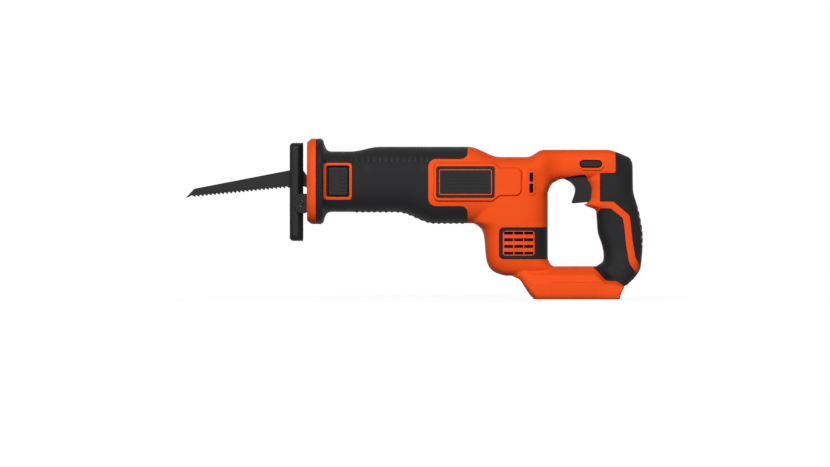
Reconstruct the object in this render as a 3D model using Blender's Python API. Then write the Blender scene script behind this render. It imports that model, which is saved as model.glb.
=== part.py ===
"""Cordless reciprocating saw, bare tool, as separate pieces at their real size.

Metres, +Z up. The saw is drawn in its own frame: X runs back along the saw from the middle of the
battery foot, Y runs across it (the left side is -Y) and Z runs up from the foot's underside. An empty
then moves the whole saw along X, so that the origin is below the middle of its length.
"""

import math

import bmesh
import bpy
from mathutils import Matrix, Vector

# Fits
GAP = 0.0003  # clearance between two pieces that touch
RUN = 0.0015  # clearance round a piece that turns
SKIN = 0.0018  # thickness of the soft grips and badges
WALL = 0.0026  # housing wall under the grips
RIB = 0.0024  # ribs that carry the works

# Plunger line and nose
AXIS_Z = 0.1223  # height of the plunger's axis
NOSE_X = -0.2711  # front face of the housing
COLLAR_LENGTH = 0.0090
COLLAR_CHAMFER = 0.0035
FLANGE_HALF_HEIGHT = 0.0446
FLANGE_HALF_WIDTH = 0.0395
FLANGE_LENGTH = 0.0066
FLANGE_FALL = 0.0058  # length of the fillet from the flange down to the neck
NECK_TOP_Z = 0.1534
NECK_LOW_Z = 0.0905
NECK_HALF_WIDTH = 0.0300
NECK_LENGTH = 0.0230
NOSE_HALF_WIDTH = 0.0220  # nose opening
NOSE_RISE = 0.0220
NOSE_DROP = 0.0372
NOSE_CORNER = 0.0060

# Barrel, arm and motor block
BODY_TOP_Z = 0.1583
BODY_LOW_Z = 0.0787
BODY_HALF_WIDTH = 0.0370
BODY_START_X = -0.2050  # top of the barrel is level from here
BODY_END_X = -0.1130  # and falls to the waist from here
BELLY_START_X = -0.1870
BELLY_END_X = -0.1480
WAIST_TOP_Z = 0.1477
WAIST_START_X = -0.0801
WAIST_END_X = -0.0520
ARM_TOP_Z = 0.1552
ARM_HALF_WIDTH = 0.0197
BLOCK_FRONT_X = -0.0960
BLOCK_HALF_WIDTH = 0.0330
BLOCK_LOW_Z = 0.0243
BLOCK_HIGH_Z = 0.1110

# Tongue of bare housing between the halves of the front grip, and the badge on it
GRIP_END_X = -0.1140
TONGUE_X = -0.1548
TONGUE_LOW_Z = 0.0965
TONGUE_HIGH_Z = 0.1451
TONGUE_CORNER = 0.0075
BADGE_X = -0.1464
BADGE_LOW_Z = 0.1052
BADGE_LENGTH = 0.0601
BADGE_HEIGHT = 0.0320
BADGE_CORNER = 0.0025

# Hand gap, grip and battery foot
GAP_FRONT_X = -0.0305
GAP_TOP_Z = 0.1243
FOOT_TOP_Z = 0.0341
FOOT_HALF_LENGTH = 0.0433
FOOT_HALF_WIDTH = 0.0360
FOOT_TAPER = 0.42  # share of its width that the foot loses towards its top
SOLE_CROWN = 0.0020  # depth that is planed off below to leave a flat sole
GRIP_FRONT_X = 0.0205
GRIP_REAR_X = 0.0684
GRIP_HALF_WIDTH = 0.0172
NUB_Z = 0.0985  # lip under the trigger
BAY_FRONT_X = -0.0223
BAY_HALF_WIDTH = 0.0280
BAY_TOP_Z = 0.0120
MOUTH_HALF_WIDTH = 0.0240
MOUTH_HEIGHT = 0.0050

# Gear train and crank
MODULE = 0.0010
PINION_TEETH = 10
GEAR_TEETH = 45
PRESSURE_ANGLE = math.radians(25)
ADDENDUM = 0.8  # in modules
DEDENDUM = 1.15
BACKLASH = 0.00025
GEAR_THICKNESS = 0.0080
STROKE = 0.0222
CRANK_PIN_RADIUS = 0.0028
ROLLER_RADIUS = 0.0050
AXLE_RADIUS = 0.0040
BEARING_WALL = 0.0024
CASE_WALL = 0.0020
CASE_FLOOR = 0.0040
CASE_CLEARANCE = 0.0006
CASE_CORNER = 0.0055
CASE_TAIL = 0.0130  # gear case behind the motor's axis

# Plunger, its guides and the blade clamp
PLUNGER_RADIUS = 0.0070
YOKE_DROP = 0.0100
YOKE_RISE = 0.0075
YOKE_WALL = 0.0040
BUSH_WALL = 0.0027
BUSH_LENGTH = 0.0200
TUBE_WALL = 0.0037
TUBE_LENGTH = 0.1192
HEAD_RADIUS = 0.0088
HEAD_LENGTH = 0.0260
HEAD_FRONT_X = -0.2760
SLEEVE_WALL = 0.0024
SLEEVE_LENGTH = 0.0180
CLAMP_PIN_RADIUS = 0.0020

# Blade
BLADE_LENGTH = 0.1524
BLADE_THICKNESS = 0.0012
BLADE_HEEL_HEIGHT = 0.0198
BLADE_TIP_HEIGHT = 0.0091
BLADE_TIP_DROP = 0.0167  # tooth tips below the plunger's axis at the front
BLADE_HEEL_DROP = 0.0055
TANG_HEIGHT = 0.0127
TANG_LENGTH = 0.0270
TANG_SHOWS = 0.0050  # part of the tang in front of the plunger
TOOTH_PITCH = 0.00423
TOOTH_DEPTH = 0.0017

# Shoe and its pivot
SHOE_FRONT_X = -0.2985
SHOE_DEPTH = 0.0136
SHOE_TOP_Z = 0.1622
SHOE_LOW_Z = 0.0603
SHOE_HALF_WIDTH = 0.0180
SHOE_PLATE = 0.0026
SHOE_CORNER = 0.0032
SHOE_SLOT_HALF_WIDTH = 0.0040
SHOE_SLOT_LOW_Z = 0.1080
SHOE_SLOT_HIGH_Z = 0.1460
PIVOT_X = -0.2867
PIVOT_Z = 0.0992
PIVOT_PIN_RADIUS = 0.0028
PIVOT_EAR_RADIUS = 0.0068
BRACKET_RADIUS = 0.0102
BRACKET_PLATE = 0.0028
BRACKET_EAR_HALF_WIDTH = 0.0252

# Motor
MOTOR_X = -0.0630
MOTOR_RADIUS = 0.0220
MOTOR_LENGTH = 0.0560
MOTOR_WALL = 0.0016
MAGNET_WALL = 0.0045
SHAFT_RADIUS = 0.0022
ARMATURE_LENGTH = 0.0260
COMMUTATOR_RADIUS = 0.0065
COMMUTATOR_LENGTH = 0.0080
BELL_HEIGHT = 0.0060
BRUSH_SIDE = 0.0045
FAN_HEIGHT = 0.0050
FAN_BLADES = 8
FAN_BLADE_THICKNESS = 0.0012

# Trigger, switch, buttons and terminals
TRIGGER_HALF_WIDTH = 0.0090
TRIGGER_TRAVEL = 0.0060
TRIGGER_X = -0.0107
TRIGGER_HEIGHT = 0.0249
TRIGGER_HOLLOW = 0.0085  # depth of its curved front
TRIGGER_ROOT = 0.0025  # the part that stays in the arm
TRIGGER_TAIL_X = 0.0200
SWITCH_X = 0.0320
SWITCH_DEPTH = 0.0160
SWITCH_HALF_WIDTH = 0.0095
SWITCH_LOW_Z = 0.0950
SWITCH_HEIGHT = 0.0330
LOCK_X = 0.0137
LOCK_Z = 0.1402
LOCK_LENGTH = 0.0219
LOCK_HEIGHT = 0.0067
LOCK_TRAVEL = 0.0040
BUTTON_X = -0.2483
BUTTON_Z = 0.1222
BUTTON_HALF_LENGTH = 0.0105
BUTTON_HALF_HEIGHT = 0.0150
BUTTON_RECESS = 0.0008
BUTTON_LIP = 0.0014
BUTTON_TRAVEL = 0.0035
BEZEL_WIDTH = 0.0031
BEZEL_GAP = 0.0010
BUTTON_SPRING_PACKED = 0.0035  # room that its spring keeps when the button is pushed in
TERMINAL_LENGTH = 0.0120
TERMINAL_HALF_WIDTH = 0.0150
TERMINAL_LOW_Z = 0.0030
TERMINAL_HEIGHT = 0.0210
CONTACT_LENGTH = 0.0130
CONTACT_HEIGHT = 0.0050
CONTACT_THICKNESS = 0.0010
CONTACT_SPACING = 0.0160
SPRING_WIRE = 0.0008
SPRING_RADIUS = 0.0030
LEAD_RADIUS = 0.0012
LEAD_Y = -0.0050  # the battery lead lies in a channel over the bay
LEAD_LOW_Z = 0.0157
LEAD_RISE_X = 0.0440
LEAD_TOP_X = 0.0420

# Housing screws, as places along X and Z
SCREW_PLACES = [
    (-0.222, 0.146),
    (-0.222, 0.099),
    (-0.128, 0.1485),
    (-0.150, 0.090),
    (-0.016, 0.141),
    (0.0475, 0.040),
]
SCREW_RADIUS = 0.0018
SCREW_HEAD_RADIUS = 0.0032
SCREW_HEAD_HEIGHT = 0.0028
SCREW_LENGTH = 0.0160
SCREW_SEAT_Y = 0.0060
BOSS_RADIUS = 0.0046

# Vents
VENT_COLUMNS = 3
VENT_ROWS = 4
VENT_SLOT = (0.0092, 0.0024)
VENT_PITCH = (0.0104, 0.0071)
VENT_CENTRE = (-0.06125, 0.0581)
VENT_WINDOW = (0.0329, 0.0256)
VENT_FRAME = 0.0039
SIDE_SLOT = (0.0033, 0.0096)
SIDE_SLOT_X = -0.04775
SIDE_SLOT_PITCH = 0.0116
SIDE_SLOT_Z = 0.1208

# Roundness of the cross-sections: 2 is an ellipse, more is nearer a box
BARREL_POWER = 3.0
BLOCK_POWER = 3.4
GRIP_POWER = 2.6
FOOT_POWER = 6.0
OUTER_POINTS = 14
INNER_POINTS = 10
LONGEST_STEP = 0.030  # between cross-sections
SHORTEST_STEP = 0.0022
INNER_STEP = 0.0045  # the same inside the housing, where fewer will do
FLAT_ANGLE = math.radians(0.05)

# Values worked out from the above
CAVITY = SKIN + GAP + WALL
NECK_X = NOSE_X + FLANGE_LENGTH + FLANGE_FALL
COLLAR_REAR_X = NOSE_X - GAP
COLLAR_X = COLLAR_REAR_X - COLLAR_LENGTH
GEAR_X = MOTOR_X - MODULE * (GEAR_TEETH + PINION_TEETH) / 2
GEAR_RADIUS = MODULE * (GEAR_TEETH / 2 + ADDENDUM)
CRANK_RADIUS = STROKE / 2
YOKE_LOW_Z = AXIS_Z - YOKE_DROP
YOKE_HIGH_Z = AXIS_Z + YOKE_RISE
GEAR_TOP_Z = YOKE_LOW_Z - RUN
GEAR_LOW_Z = GEAR_TOP_Z - GEAR_THICKNESS
CASE_LOW_Z = GEAR_LOW_Z - RUN - CASE_FLOOR
CASE_SPLIT_Z = GEAR_TOP_Z + RUN
CASE_HALF_WIDTH = GEAR_RADIUS + CASE_CLEARANCE + CASE_WALL
YOKE_SLACK = CRANK_RADIUS * (math.sqrt(1 - 4 / math.pi**2) - 2 / math.pi * math.acos(2 / math.pi))
SLOT_HALF_LENGTH = ROLLER_RADIUS + YOKE_SLACK + GAP
SLOT_HALF_WIDTH = ROLLER_RADIUS + CRANK_RADIUS + GAP
YOKE_REACH = SLOT_HALF_LENGTH + YOKE_WALL + CRANK_RADIUS  # from the gear's axis to the yoke at full stroke
CASE_FRONT_X = GEAR_X - max(CASE_HALF_WIDTH, YOKE_REACH + CASE_WALL + GAP) - RUN
CASE_REAR_X = MOTOR_X + CASE_TAIL
COVER_REAR_X = GEAR_X + YOKE_REACH + RUN + CASE_WALL
TUBE_REAR_X = CASE_FRONT_X - GAP
TUBE_FRONT_X = TUBE_REAR_X - TUBE_LENGTH
BUSH_RADIUS = PLUNGER_RADIUS + GAP + BUSH_WALL
TUBE_RADIUS = BUSH_RADIUS + GAP + TUBE_WALL
SLEEVE_RADIUS = HEAD_RADIUS + GAP + SLEEVE_WALL
CAN_TOP_Z = CASE_LOW_Z - GAP
CAN_LOW_Z = CAN_TOP_Z - MOTOR_LENGTH
CAN_BORE = MOTOR_RADIUS - MOTOR_WALL
ARMATURE_RADIUS = CAN_BORE - GAP - MAGNET_WALL - CASE_CLEARANCE
BELL_LOW_Z = CAN_LOW_Z - GAP - BELL_HEIGHT
BLADE_TIP_X = HEAD_FRONT_X + TANG_LENGTH - TANG_SHOWS - BLADE_LENGTH
HALF_SPACE = 0.30
FRAME_X = -(BLADE_TIP_X + GRIP_REAR_X) / 2

# Lines of the housing as (position, value) knots: the barrel and the foot along X, the rest along Z
BARREL_TOP = [
    (NOSE_X, AXIS_Z + FLANGE_HALF_HEIGHT),
    (NOSE_X + FLANGE_LENGTH, AXIS_Z + FLANGE_HALF_HEIGHT),
    (NECK_X, NECK_TOP_Z),
    (NECK_X + NECK_LENGTH, NECK_TOP_Z),
    (BODY_START_X, BODY_TOP_Z),
    (BODY_END_X, BODY_TOP_Z),
    (WAIST_START_X, WAIST_TOP_Z),
    (WAIST_END_X, WAIST_TOP_Z),
    (GAP_FRONT_X - 0.0045, ARM_TOP_Z),
    (GRIP_FRONT_X + 0.0100, ARM_TOP_Z),
    (GRIP_FRONT_X + 0.0220, ARM_TOP_Z - 0.0030),
    (GRIP_REAR_X - 0.0140, ARM_TOP_Z - 0.0080),
]
BARREL_LOW = [
    (NOSE_X, AXIS_Z - FLANGE_HALF_HEIGHT),
    (NOSE_X + FLANGE_LENGTH, AXIS_Z - FLANGE_HALF_HEIGHT),
    (NECK_X, NECK_LOW_Z),
    (BELLY_START_X, NECK_LOW_Z),
    (BELLY_END_X, BODY_LOW_Z),
    (WAIST_START_X, BODY_LOW_Z),
    (GAP_FRONT_X - 0.0060, BODY_LOW_Z + 0.0170),
    (GAP_FRONT_X + 0.0005, GAP_TOP_Z - 0.0120),
    (GAP_FRONT_X + 0.0050, GAP_TOP_Z - 0.0038),
    (GAP_FRONT_X + 0.0160, GAP_TOP_Z),
    (GRIP_FRONT_X + 0.0050, GAP_TOP_Z),
    (GRIP_REAR_X - 0.0140, GAP_TOP_Z - 0.0120),
]
BARREL_WIDTH = [
    (NOSE_X, FLANGE_HALF_WIDTH),
    (NOSE_X + FLANGE_LENGTH, FLANGE_HALF_WIDTH),
    (NECK_X, NECK_HALF_WIDTH),
    (NECK_X + NECK_LENGTH, NECK_HALF_WIDTH),
    (BELLY_END_X, BODY_HALF_WIDTH),
    (WAIST_END_X, BODY_HALF_WIDTH - 0.0010),
    (GAP_FRONT_X - 0.0060, BODY_HALF_WIDTH - 0.0060),
    (GAP_FRONT_X + 0.0050, ARM_HALF_WIDTH + 0.0035),
    (GAP_FRONT_X + 0.0160, ARM_HALF_WIDTH),
    (GRIP_FRONT_X + 0.0220, ARM_HALF_WIDTH - 0.0010),
    (GRIP_REAR_X - 0.0140, ARM_HALF_WIDTH - 0.0035),
]
BLOCK_FRONT = [
    (BLOCK_LOW_Z, BLOCK_FRONT_X + 0.0200),
    (BLOCK_LOW_Z + 0.0028, BLOCK_FRONT_X + 0.0118),
    (BLOCK_LOW_Z + 0.0080, BLOCK_FRONT_X + 0.0050),
    (BLOCK_LOW_Z + 0.0180, BLOCK_FRONT_X + 0.0015),
    (BODY_LOW_Z - 0.0140, BLOCK_FRONT_X - 0.0007),
    (BODY_LOW_Z - 0.0063, BLOCK_FRONT_X - 0.0030),
    (BODY_LOW_Z - 0.0020, BLOCK_FRONT_X - 0.0080),
    (BODY_LOW_Z + 0.0010, BLOCK_FRONT_X - 0.0130),
    (BLOCK_HIGH_Z, BLOCK_FRONT_X - 0.0130),
]
BLOCK_REAR = [
    (BLOCK_LOW_Z, GAP_FRONT_X - 0.0150),
    (BLOCK_LOW_Z + 0.0028, GAP_FRONT_X - 0.0040),
    (BLOCK_LOW_Z + 0.0080, GAP_FRONT_X + 0.0070),
    (FOOT_TOP_Z + 0.0020, GAP_FRONT_X + 0.0030),
    (FOOT_TOP_Z + 0.0085, GAP_FRONT_X),
    (BLOCK_HIGH_Z, GAP_FRONT_X),
]
BLOCK_WIDTH = [
    (BLOCK_LOW_Z, BLOCK_HALF_WIDTH - 0.0120),
    (BLOCK_LOW_Z + 0.0028, BLOCK_HALF_WIDTH - 0.0060),
    (BLOCK_LOW_Z + 0.0080, BLOCK_HALF_WIDTH - 0.0020),
    (BLOCK_LOW_Z + 0.0180, BLOCK_HALF_WIDTH),
    (BODY_LOW_Z - 0.0140, BLOCK_HALF_WIDTH),
    (BLOCK_HIGH_Z, BLOCK_HALF_WIDTH - 0.0020),
]
GRIP_FRONT = [
    (0.0140, GRIP_FRONT_X + 0.0160),
    (0.0240, GRIP_FRONT_X + 0.0040),
    (FOOT_TOP_Z - 0.0020, GRIP_FRONT_X - 0.0030),
    (FOOT_TOP_Z + 0.0020, GRIP_FRONT_X + 0.0025),
    (FOOT_TOP_Z + 0.0052, GRIP_FRONT_X + 0.0067),
    (FOOT_TOP_Z + 0.0117, GRIP_FRONT_X + 0.0071),
    (FOOT_TOP_Z + 0.0220, GRIP_FRONT_X + 0.0053),
    (FOOT_TOP_Z + 0.0365, GRIP_FRONT_X + 0.0008),
    (NUB_Z - 0.0110, GRIP_FRONT_X - 0.0004),
    (NUB_Z - 0.0056, GRIP_FRONT_X - 0.0013),
    (NUB_Z - 0.0020, GRIP_FRONT_X - 0.0110),
    (NUB_Z, GRIP_FRONT_X - 0.0135),
    (NUB_Z + 0.0040, GRIP_FRONT_X - 0.0090),
    (GAP_TOP_Z - 0.0100, GRIP_FRONT_X - 0.0070),
    (ARM_TOP_Z - 0.0090, GRIP_FRONT_X - 0.0070),
]
GRIP_REAR = [
    (0.0140, GRIP_REAR_X - 0.0168),
    (0.0240, GRIP_REAR_X - 0.0069),
    (FOOT_TOP_Z, GRIP_REAR_X - 0.0020),
    (FOOT_TOP_Z + 0.0299, GRIP_REAR_X),
    (NUB_Z - 0.0076, GRIP_REAR_X - 0.0039),
    (NUB_Z, GRIP_REAR_X - 0.0062),
    (GAP_TOP_Z - 0.0100, GRIP_REAR_X - 0.0102),
    (ARM_TOP_Z - 0.0154, GRIP_REAR_X - 0.0106),
    (ARM_TOP_Z - 0.0090, GRIP_REAR_X - 0.0130),
]
GRIP_WIDTH = [
    (0.0140, GRIP_HALF_WIDTH + 0.0060),
    (0.0240, GRIP_HALF_WIDTH + 0.0060),
    (FOOT_TOP_Z, GRIP_HALF_WIDTH + 0.0035),
    (FOOT_TOP_Z + 0.0220, GRIP_HALF_WIDTH),
    (NUB_Z - 0.0110, GRIP_HALF_WIDTH - 0.0004),
    (GAP_TOP_Z - 0.0100, GRIP_HALF_WIDTH + 0.0010),
    (ARM_TOP_Z - 0.0154, GRIP_HALF_WIDTH),
    (ARM_TOP_Z - 0.0090, GRIP_HALF_WIDTH - 0.0025),
]
FOOT_TOP = [
    (-FOOT_HALF_LENGTH - 0.0227, FOOT_TOP_Z - 0.0050),
    (-FOOT_HALF_LENGTH - 0.0169, FOOT_TOP_Z - 0.0010),
    (-FOOT_HALF_LENGTH - 0.0107, FOOT_TOP_Z),
    (GRIP_FRONT_X - 0.0045, FOOT_TOP_Z),
    (GRIP_FRONT_X + 0.0015, FOOT_TOP_Z - 0.0073),
    (GRIP_FRONT_X + 0.0082, FOOT_TOP_Z - 0.0150),
    (FOOT_HALF_LENGTH - 0.0050, FOOT_TOP_Z - 0.0157),
    (FOOT_HALF_LENGTH, FOOT_TOP_Z - 0.0190),
    (FOOT_HALF_LENGTH + 0.0021, FOOT_TOP_Z - 0.0212),
]
FOOT_LOW = [
    (-FOOT_HALF_LENGTH - 0.0227, 0.0226),
    (-FOOT_HALF_LENGTH - 0.0169, 0.0205),
    (-FOOT_HALF_LENGTH - 0.0107, 0.0118),
    (-FOOT_HALF_LENGTH - 0.0045, 0.0030),
    (-FOOT_HALF_LENGTH + SOLE_CROWN, -SOLE_CROWN),
    (FOOT_HALF_LENGTH, -SOLE_CROWN),
    (FOOT_HALF_LENGTH + 0.0021, 0.0085),
]
FOOT_WIDTH = [
    (-FOOT_HALF_LENGTH - 0.0227, FOOT_HALF_WIDTH - 0.0130),
    (-FOOT_HALF_LENGTH - 0.0107, FOOT_HALF_WIDTH - 0.0030),
    (-FOOT_HALF_LENGTH, FOOT_HALF_WIDTH),
    (FOOT_HALF_LENGTH, FOOT_HALF_WIDTH),
    (FOOT_HALF_LENGTH + 0.0021, FOOT_HALF_WIDTH - 0.0006),
]

# Side-view outlines of the grips, vents and badges, as (x, z, corner radius)
FRONT_GRIP = [
    (NOSE_X - 0.02, FOOT_TOP_Z, 0),
    (GRIP_END_X, FOOT_TOP_Z, 0),
    (GRIP_END_X, TONGUE_LOW_Z, TONGUE_CORNER),
    (TONGUE_X, TONGUE_LOW_Z, TONGUE_CORNER),
    (TONGUE_X, TONGUE_HIGH_Z, TONGUE_CORNER),
    (GRIP_END_X, TONGUE_HIGH_Z, TONGUE_CORNER),
    (GRIP_END_X, BODY_TOP_Z + 0.04, 0),
    (NOSE_X - 0.02, BODY_TOP_Z + 0.04, 0),
]
REAR_GRIP = [
    (GRIP_FRONT_X + 0.0189, 0.20, 0),
    (GRIP_FRONT_X + 0.0189, GAP_TOP_Z + 0.0067, 0.002),
    (GRIP_FRONT_X + 0.0027, GAP_TOP_Z + 0.0067, 0.0015),
    (GRIP_FRONT_X + 0.0027, NUB_Z + 0.0026, 0.0015),
    (GRIP_FRONT_X + 0.0169, NUB_Z + 0.0026, 0.003),
    (GRIP_REAR_X - 0.0142, NUB_Z - 0.0120, 0.003),
    (GRIP_REAR_X - 0.0132, NUB_Z - 0.0206, 0),
    (GRIP_REAR_X - 0.0113, FOOT_TOP_Z + 0.0262, 0),
    (GRIP_REAR_X - 0.0084, FOOT_TOP_Z + 0.0095, 0),
    (GRIP_REAR_X - 0.0033, FOOT_TOP_Z, 0),
    (GRIP_REAR_X + 0.02, FOOT_TOP_Z - 0.008, 0),
    (GRIP_REAR_X + 0.02, 0.20, 0),
]
PALM_GRIP = [
    (GRIP_FRONT_X - 0.0105, FOOT_TOP_Z + 0.0012, 0),
    (GRIP_FRONT_X - 0.0040, FOOT_TOP_Z + 0.0012, 0),
    (GRIP_FRONT_X + 0.0085, FOOT_TOP_Z - 0.0138, 0.002),
    (FOOT_HALF_LENGTH - 0.0048, FOOT_TOP_Z - 0.0145, 0.002),
    (FOOT_HALF_LENGTH + 0.0050, FOOT_TOP_Z - 0.0222, 0),
    (FOOT_HALF_LENGTH + 0.0120, FOOT_TOP_Z - 0.0300, 0),
    (GRIP_REAR_X + 0.0020, FOOT_TOP_Z - 0.0150, 0),
    (GRIP_REAR_X - 0.0069, FOOT_TOP_Z - 0.0073, 0),
    (GRIP_REAR_X - 0.0142, FOOT_TOP_Z + 0.0022, 0),
    (GRIP_REAR_X - 0.0157, FOOT_TOP_Z + 0.0080, 0),
    (GRIP_REAR_X - 0.0182, FOOT_TOP_Z + 0.0241, 0),
    (GRIP_REAR_X - 0.0200, NUB_Z - 0.0215, 0),
    (GRIP_REAR_X - 0.0215, NUB_Z - 0.0142, 0.002),
    (GRIP_FRONT_X + 0.0140, NUB_Z - 0.0043, 0.003),
    (GRIP_FRONT_X + 0.0038, NUB_Z - 0.0043, 0),
    (GRIP_FRONT_X - 0.0010, NUB_Z - 0.0095, 0),
    (GRIP_FRONT_X - 0.0105, NUB_Z - 0.0105, 0),
]
VENT_FRAME_X = VENT_CENTRE[0] - VENT_WINDOW[0] / 2 - VENT_FRAME
VENT_FRAME_LOW_Z = VENT_CENTRE[1] - VENT_WINDOW[1] / 2 - VENT_FRAME
VENT_FRAME_HIGH_Z = VENT_CENTRE[1] + VENT_WINDOW[1] / 2 + VENT_FRAME
VENT_SURROUND = [
    (VENT_FRAME_X, VENT_FRAME_LOW_Z, 0.005),
    (GAP_FRONT_X + 0.02, VENT_FRAME_LOW_Z, 0),
    (GAP_FRONT_X + 0.02, VENT_FRAME_HIGH_Z, 0),
    (VENT_FRAME_X, VENT_FRAME_HIGH_Z, 0.005),
]
BADGE = [
    (BADGE_X, BADGE_LOW_Z, BADGE_CORNER),
    (BADGE_X + BADGE_LENGTH, BADGE_LOW_Z, BADGE_CORNER),
    (BADGE_X + BADGE_LENGTH, BADGE_LOW_Z + BADGE_HEIGHT, BADGE_CORNER),
    (BADGE_X, BADGE_LOW_Z + BADGE_HEIGHT, BADGE_CORNER),
]


def line(knots):
    """A smooth line through (position, value) knots that never overshoots them."""
    steps = [(b[1] - a[1]) / (b[0] - a[0]) for a, b in zip(knots, knots[1:])]
    slopes = [steps[0]]
    for before, after in zip(steps, steps[1:]):
        slopes.append(0.0 if before * after <= 0 else 2 * before * after / (before + after))
    slopes.append(steps[-1])

    def value(position):
        position = min(max(position, knots[0][0]), knots[-1][0])
        index = sum(1 for knot in knots[1:-1] if knot[0] < position)
        (x0, y0), (x1, y1) = knots[index], knots[index + 1]
        width = x1 - x0
        t = (position - x0) / width
        rise = 3 * t**2 - 2 * t**3
        pull = slopes[index] * (t**3 - 2 * t**2 + t) + slopes[index + 1] * (t**3 - t**2)
        return y0 + (y1 - y0) * rise + width * pull

    return value


def rounded(corners, steps=3):
    """An outline whose corners, given as (x, z, radius), are turned into arcs."""
    points = []
    for index, (x, z, radius) in enumerate(corners):
        here = Vector((x, z))
        back = Vector(corners[index - 1][:2]) - here
        ahead = Vector(corners[(index + 1) % len(corners)][:2]) - here
        if not radius:
            points.append((x, z))
            continue
        half = back.angle(ahead) / 2
        reach = min(radius / math.tan(half), 0.45 * back.length, 0.45 * ahead.length)
        radius = reach * math.tan(half)
        centre = here + (back.normalized() + ahead.normalized()).normalized() * radius / math.sin(half)
        start = here + back.normalized() * reach - centre
        turn = start.angle_signed(here + ahead.normalized() * reach - centre)
        for step in range(steps + 1):
            spoke = Matrix.Rotation(-turn * step / steps, 2) @ start
            points.append(tuple(centre + spoke))
    return points


def grown(outline, distance):
    """An outline moved outwards by a distance, or inwards by a negative one."""
    area = sum(a[0] * b[1] - b[0] * a[1] for a, b in zip(outline, outline[1:] + outline[:1]))
    side = distance if area > 0 else -distance
    points = []
    for index, point in enumerate(outline):
        here = Vector(point)
        back = (here - Vector(outline[index - 1])).normalized()
        ahead = (Vector(outline[(index + 1) % len(outline)]) - here).normalized()
        normal = Vector((back.y + ahead.y, -back.x - ahead.x)).normalized()
        points.append(tuple(here + normal * side / normal.dot(Vector((ahead.y, -ahead.x)))))
    return points


def box_outline(low, high, radius=0.0):
    """A rectangle between two corners, with rounded corners."""
    (x0, z0), (x1, z1) = low, high
    return rounded([(x0, z0, radius), (x1, z0, radius), (x1, z1, radius), (x0, z1, radius)])


def circle(centre, radius, count=20):
    """A round outline."""
    turns = [2 * math.pi * step / count for step in range(count)]
    return [(centre[0] + radius * math.cos(a), centre[1] + radius * math.sin(a)) for a in turns]


def point_on(axis, along, across, up):
    """A point from its place along an axis and its two places across it."""
    if axis == "X":
        return Vector((along, across, up))
    if axis == "Y":
        return Vector((across, along, up))
    return Vector((across, up, along))


def solid(bm):
    """A work object from a bmesh, with its faces turned outwards."""
    bmesh.ops.recalc_face_normals(bm, faces=bm.faces[:])
    mesh = bpy.data.meshes.new("work")
    bm.to_mesh(mesh)
    bm.free()
    piece = bpy.data.objects.new("work", mesh)
    bpy.context.scene.collection.objects.link(piece)
    return piece


def prisms(outlines, axis, start, end):
    """Flat outlines drawn out along an axis, as one work object."""
    bm = bmesh.new()
    for outline in outlines:
        face = bm.faces.new([bm.verts.new(point_on(axis, start, *point)) for point in outline])
        drawn = bmesh.ops.extrude_face_region(bm, geom=[face])["geom"]
        moved = [item for item in drawn if isinstance(item, bmesh.types.BMVert)]
        bmesh.ops.translate(bm, verts=moved, vec=point_on(axis, end - start, 0, 0))
    return solid(bm)


def prism(outline, axis, start, end):
    """One outline drawn out along an axis."""
    return prisms([outline], axis, start, end)


def box(x_range, y_range, z_range):
    """A plain box between three pairs of limits."""
    outline = box_outline((x_range[0], z_range[0]), (x_range[1], z_range[1]))
    return prism(outline, "Y", *y_range)


def cylinder(axis, centre, radius, start, end, count=20):
    """A round bar along an axis."""
    return prism(circle(centre, radius, count), axis, start, end)


def section(low, high, half, power, points, taper):
    """One closed cross-section as (across, up) points, a rounded box narrower towards its top."""
    outline = []
    for step in range(points):
        angle = 2 * math.pi * step / points
        up = math.copysign(abs(math.cos(angle)) ** (2 / power), math.cos(angle))
        across = math.copysign(abs(math.sin(angle)) ** (2 / power), math.sin(angle))
        slope = 1 - taper * max(0.0, up - 0.35) / 0.65
        outline.append((half * across * slope, (low + high) / 2 + up * (high - low) / 2))
    return outline


def stops(lines, shortest):
    """Places of the cross-sections: the knots of the lines, with more where these lie far apart."""
    every = sorted({knot[0] for knots in lines for knot in knots})
    knots = every[:1]
    for place in every[1:-1]:
        if place - knots[-1] >= shortest and every[-1] - place >= shortest:
            knots.append(place)
    places = knots[:1]
    for place in knots[1:] + every[-1:]:
        count = math.ceil((place - places[-1]) / LONGEST_STEP)
        start = places[-1]
        places += [start + (place - start) * (step + 1) / count for step in range(count)]
    return places


def loft(axis, lines, power, points, inset=0.0, taper=0.0):
    """A closed skin over cross-sections along X or Z, whose limits are the lines moved in by an inset."""
    low, high, half = (line(knots) for knots in lines)
    places = stops(lines, SHORTEST_STEP if inset < CAVITY else INNER_STEP)
    bm = bmesh.new()
    rings = []
    for place in places:
        along = min(max(place, places[0] + inset), places[-1] - inset)
        limits = (low(place) + inset, high(place) - inset, half(place) - inset)
        ring = []
        for across, up in section(*limits, power, points, taper):
            at = (across, up) if axis == "X" else (up, across)
            ring.append(bm.verts.new(point_on(axis, along, *at)))
        rings.append([bm.edges.new((ring[step - 1], ring[step])) for step in range(points)])
    for before, after in zip(rings, rings[1:]):
        bmesh.ops.bridge_loops(bm, edges=before + after)
    bmesh.ops.holes_fill(bm, edges=bm.edges[:], sides=points)
    bmesh.ops.triangulate(bm, faces=bm.faces[:], quad_method="FIXED")
    return solid(bm)


def combine(target, tool, operation, keep=False, solver="EXACT"):
    """Applies a Boolean to a work object and drops the tool, unless it is used again."""
    modifier = target.modifiers.new("combine", "BOOLEAN")
    modifier.operation = operation
    modifier.object = tool
    modifier.solver = solver
    graph = bpy.context.evaluated_depsgraph_get()
    mesh = bpy.data.meshes.new_from_object(target.evaluated_get(graph))
    target.modifiers.clear()
    target.data = mesh
    if not keep:
        bpy.data.objects.remove(tool)
    return target


def joined(target, *tools):
    """Union of work objects."""
    for tool in tools:
        combine(target, tool, "UNION")
    return target


def cut(target, *tools):
    """A work object with others taken away from it."""
    for tool in tools:
        combine(target, tool, "DIFFERENCE")
    return target


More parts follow.
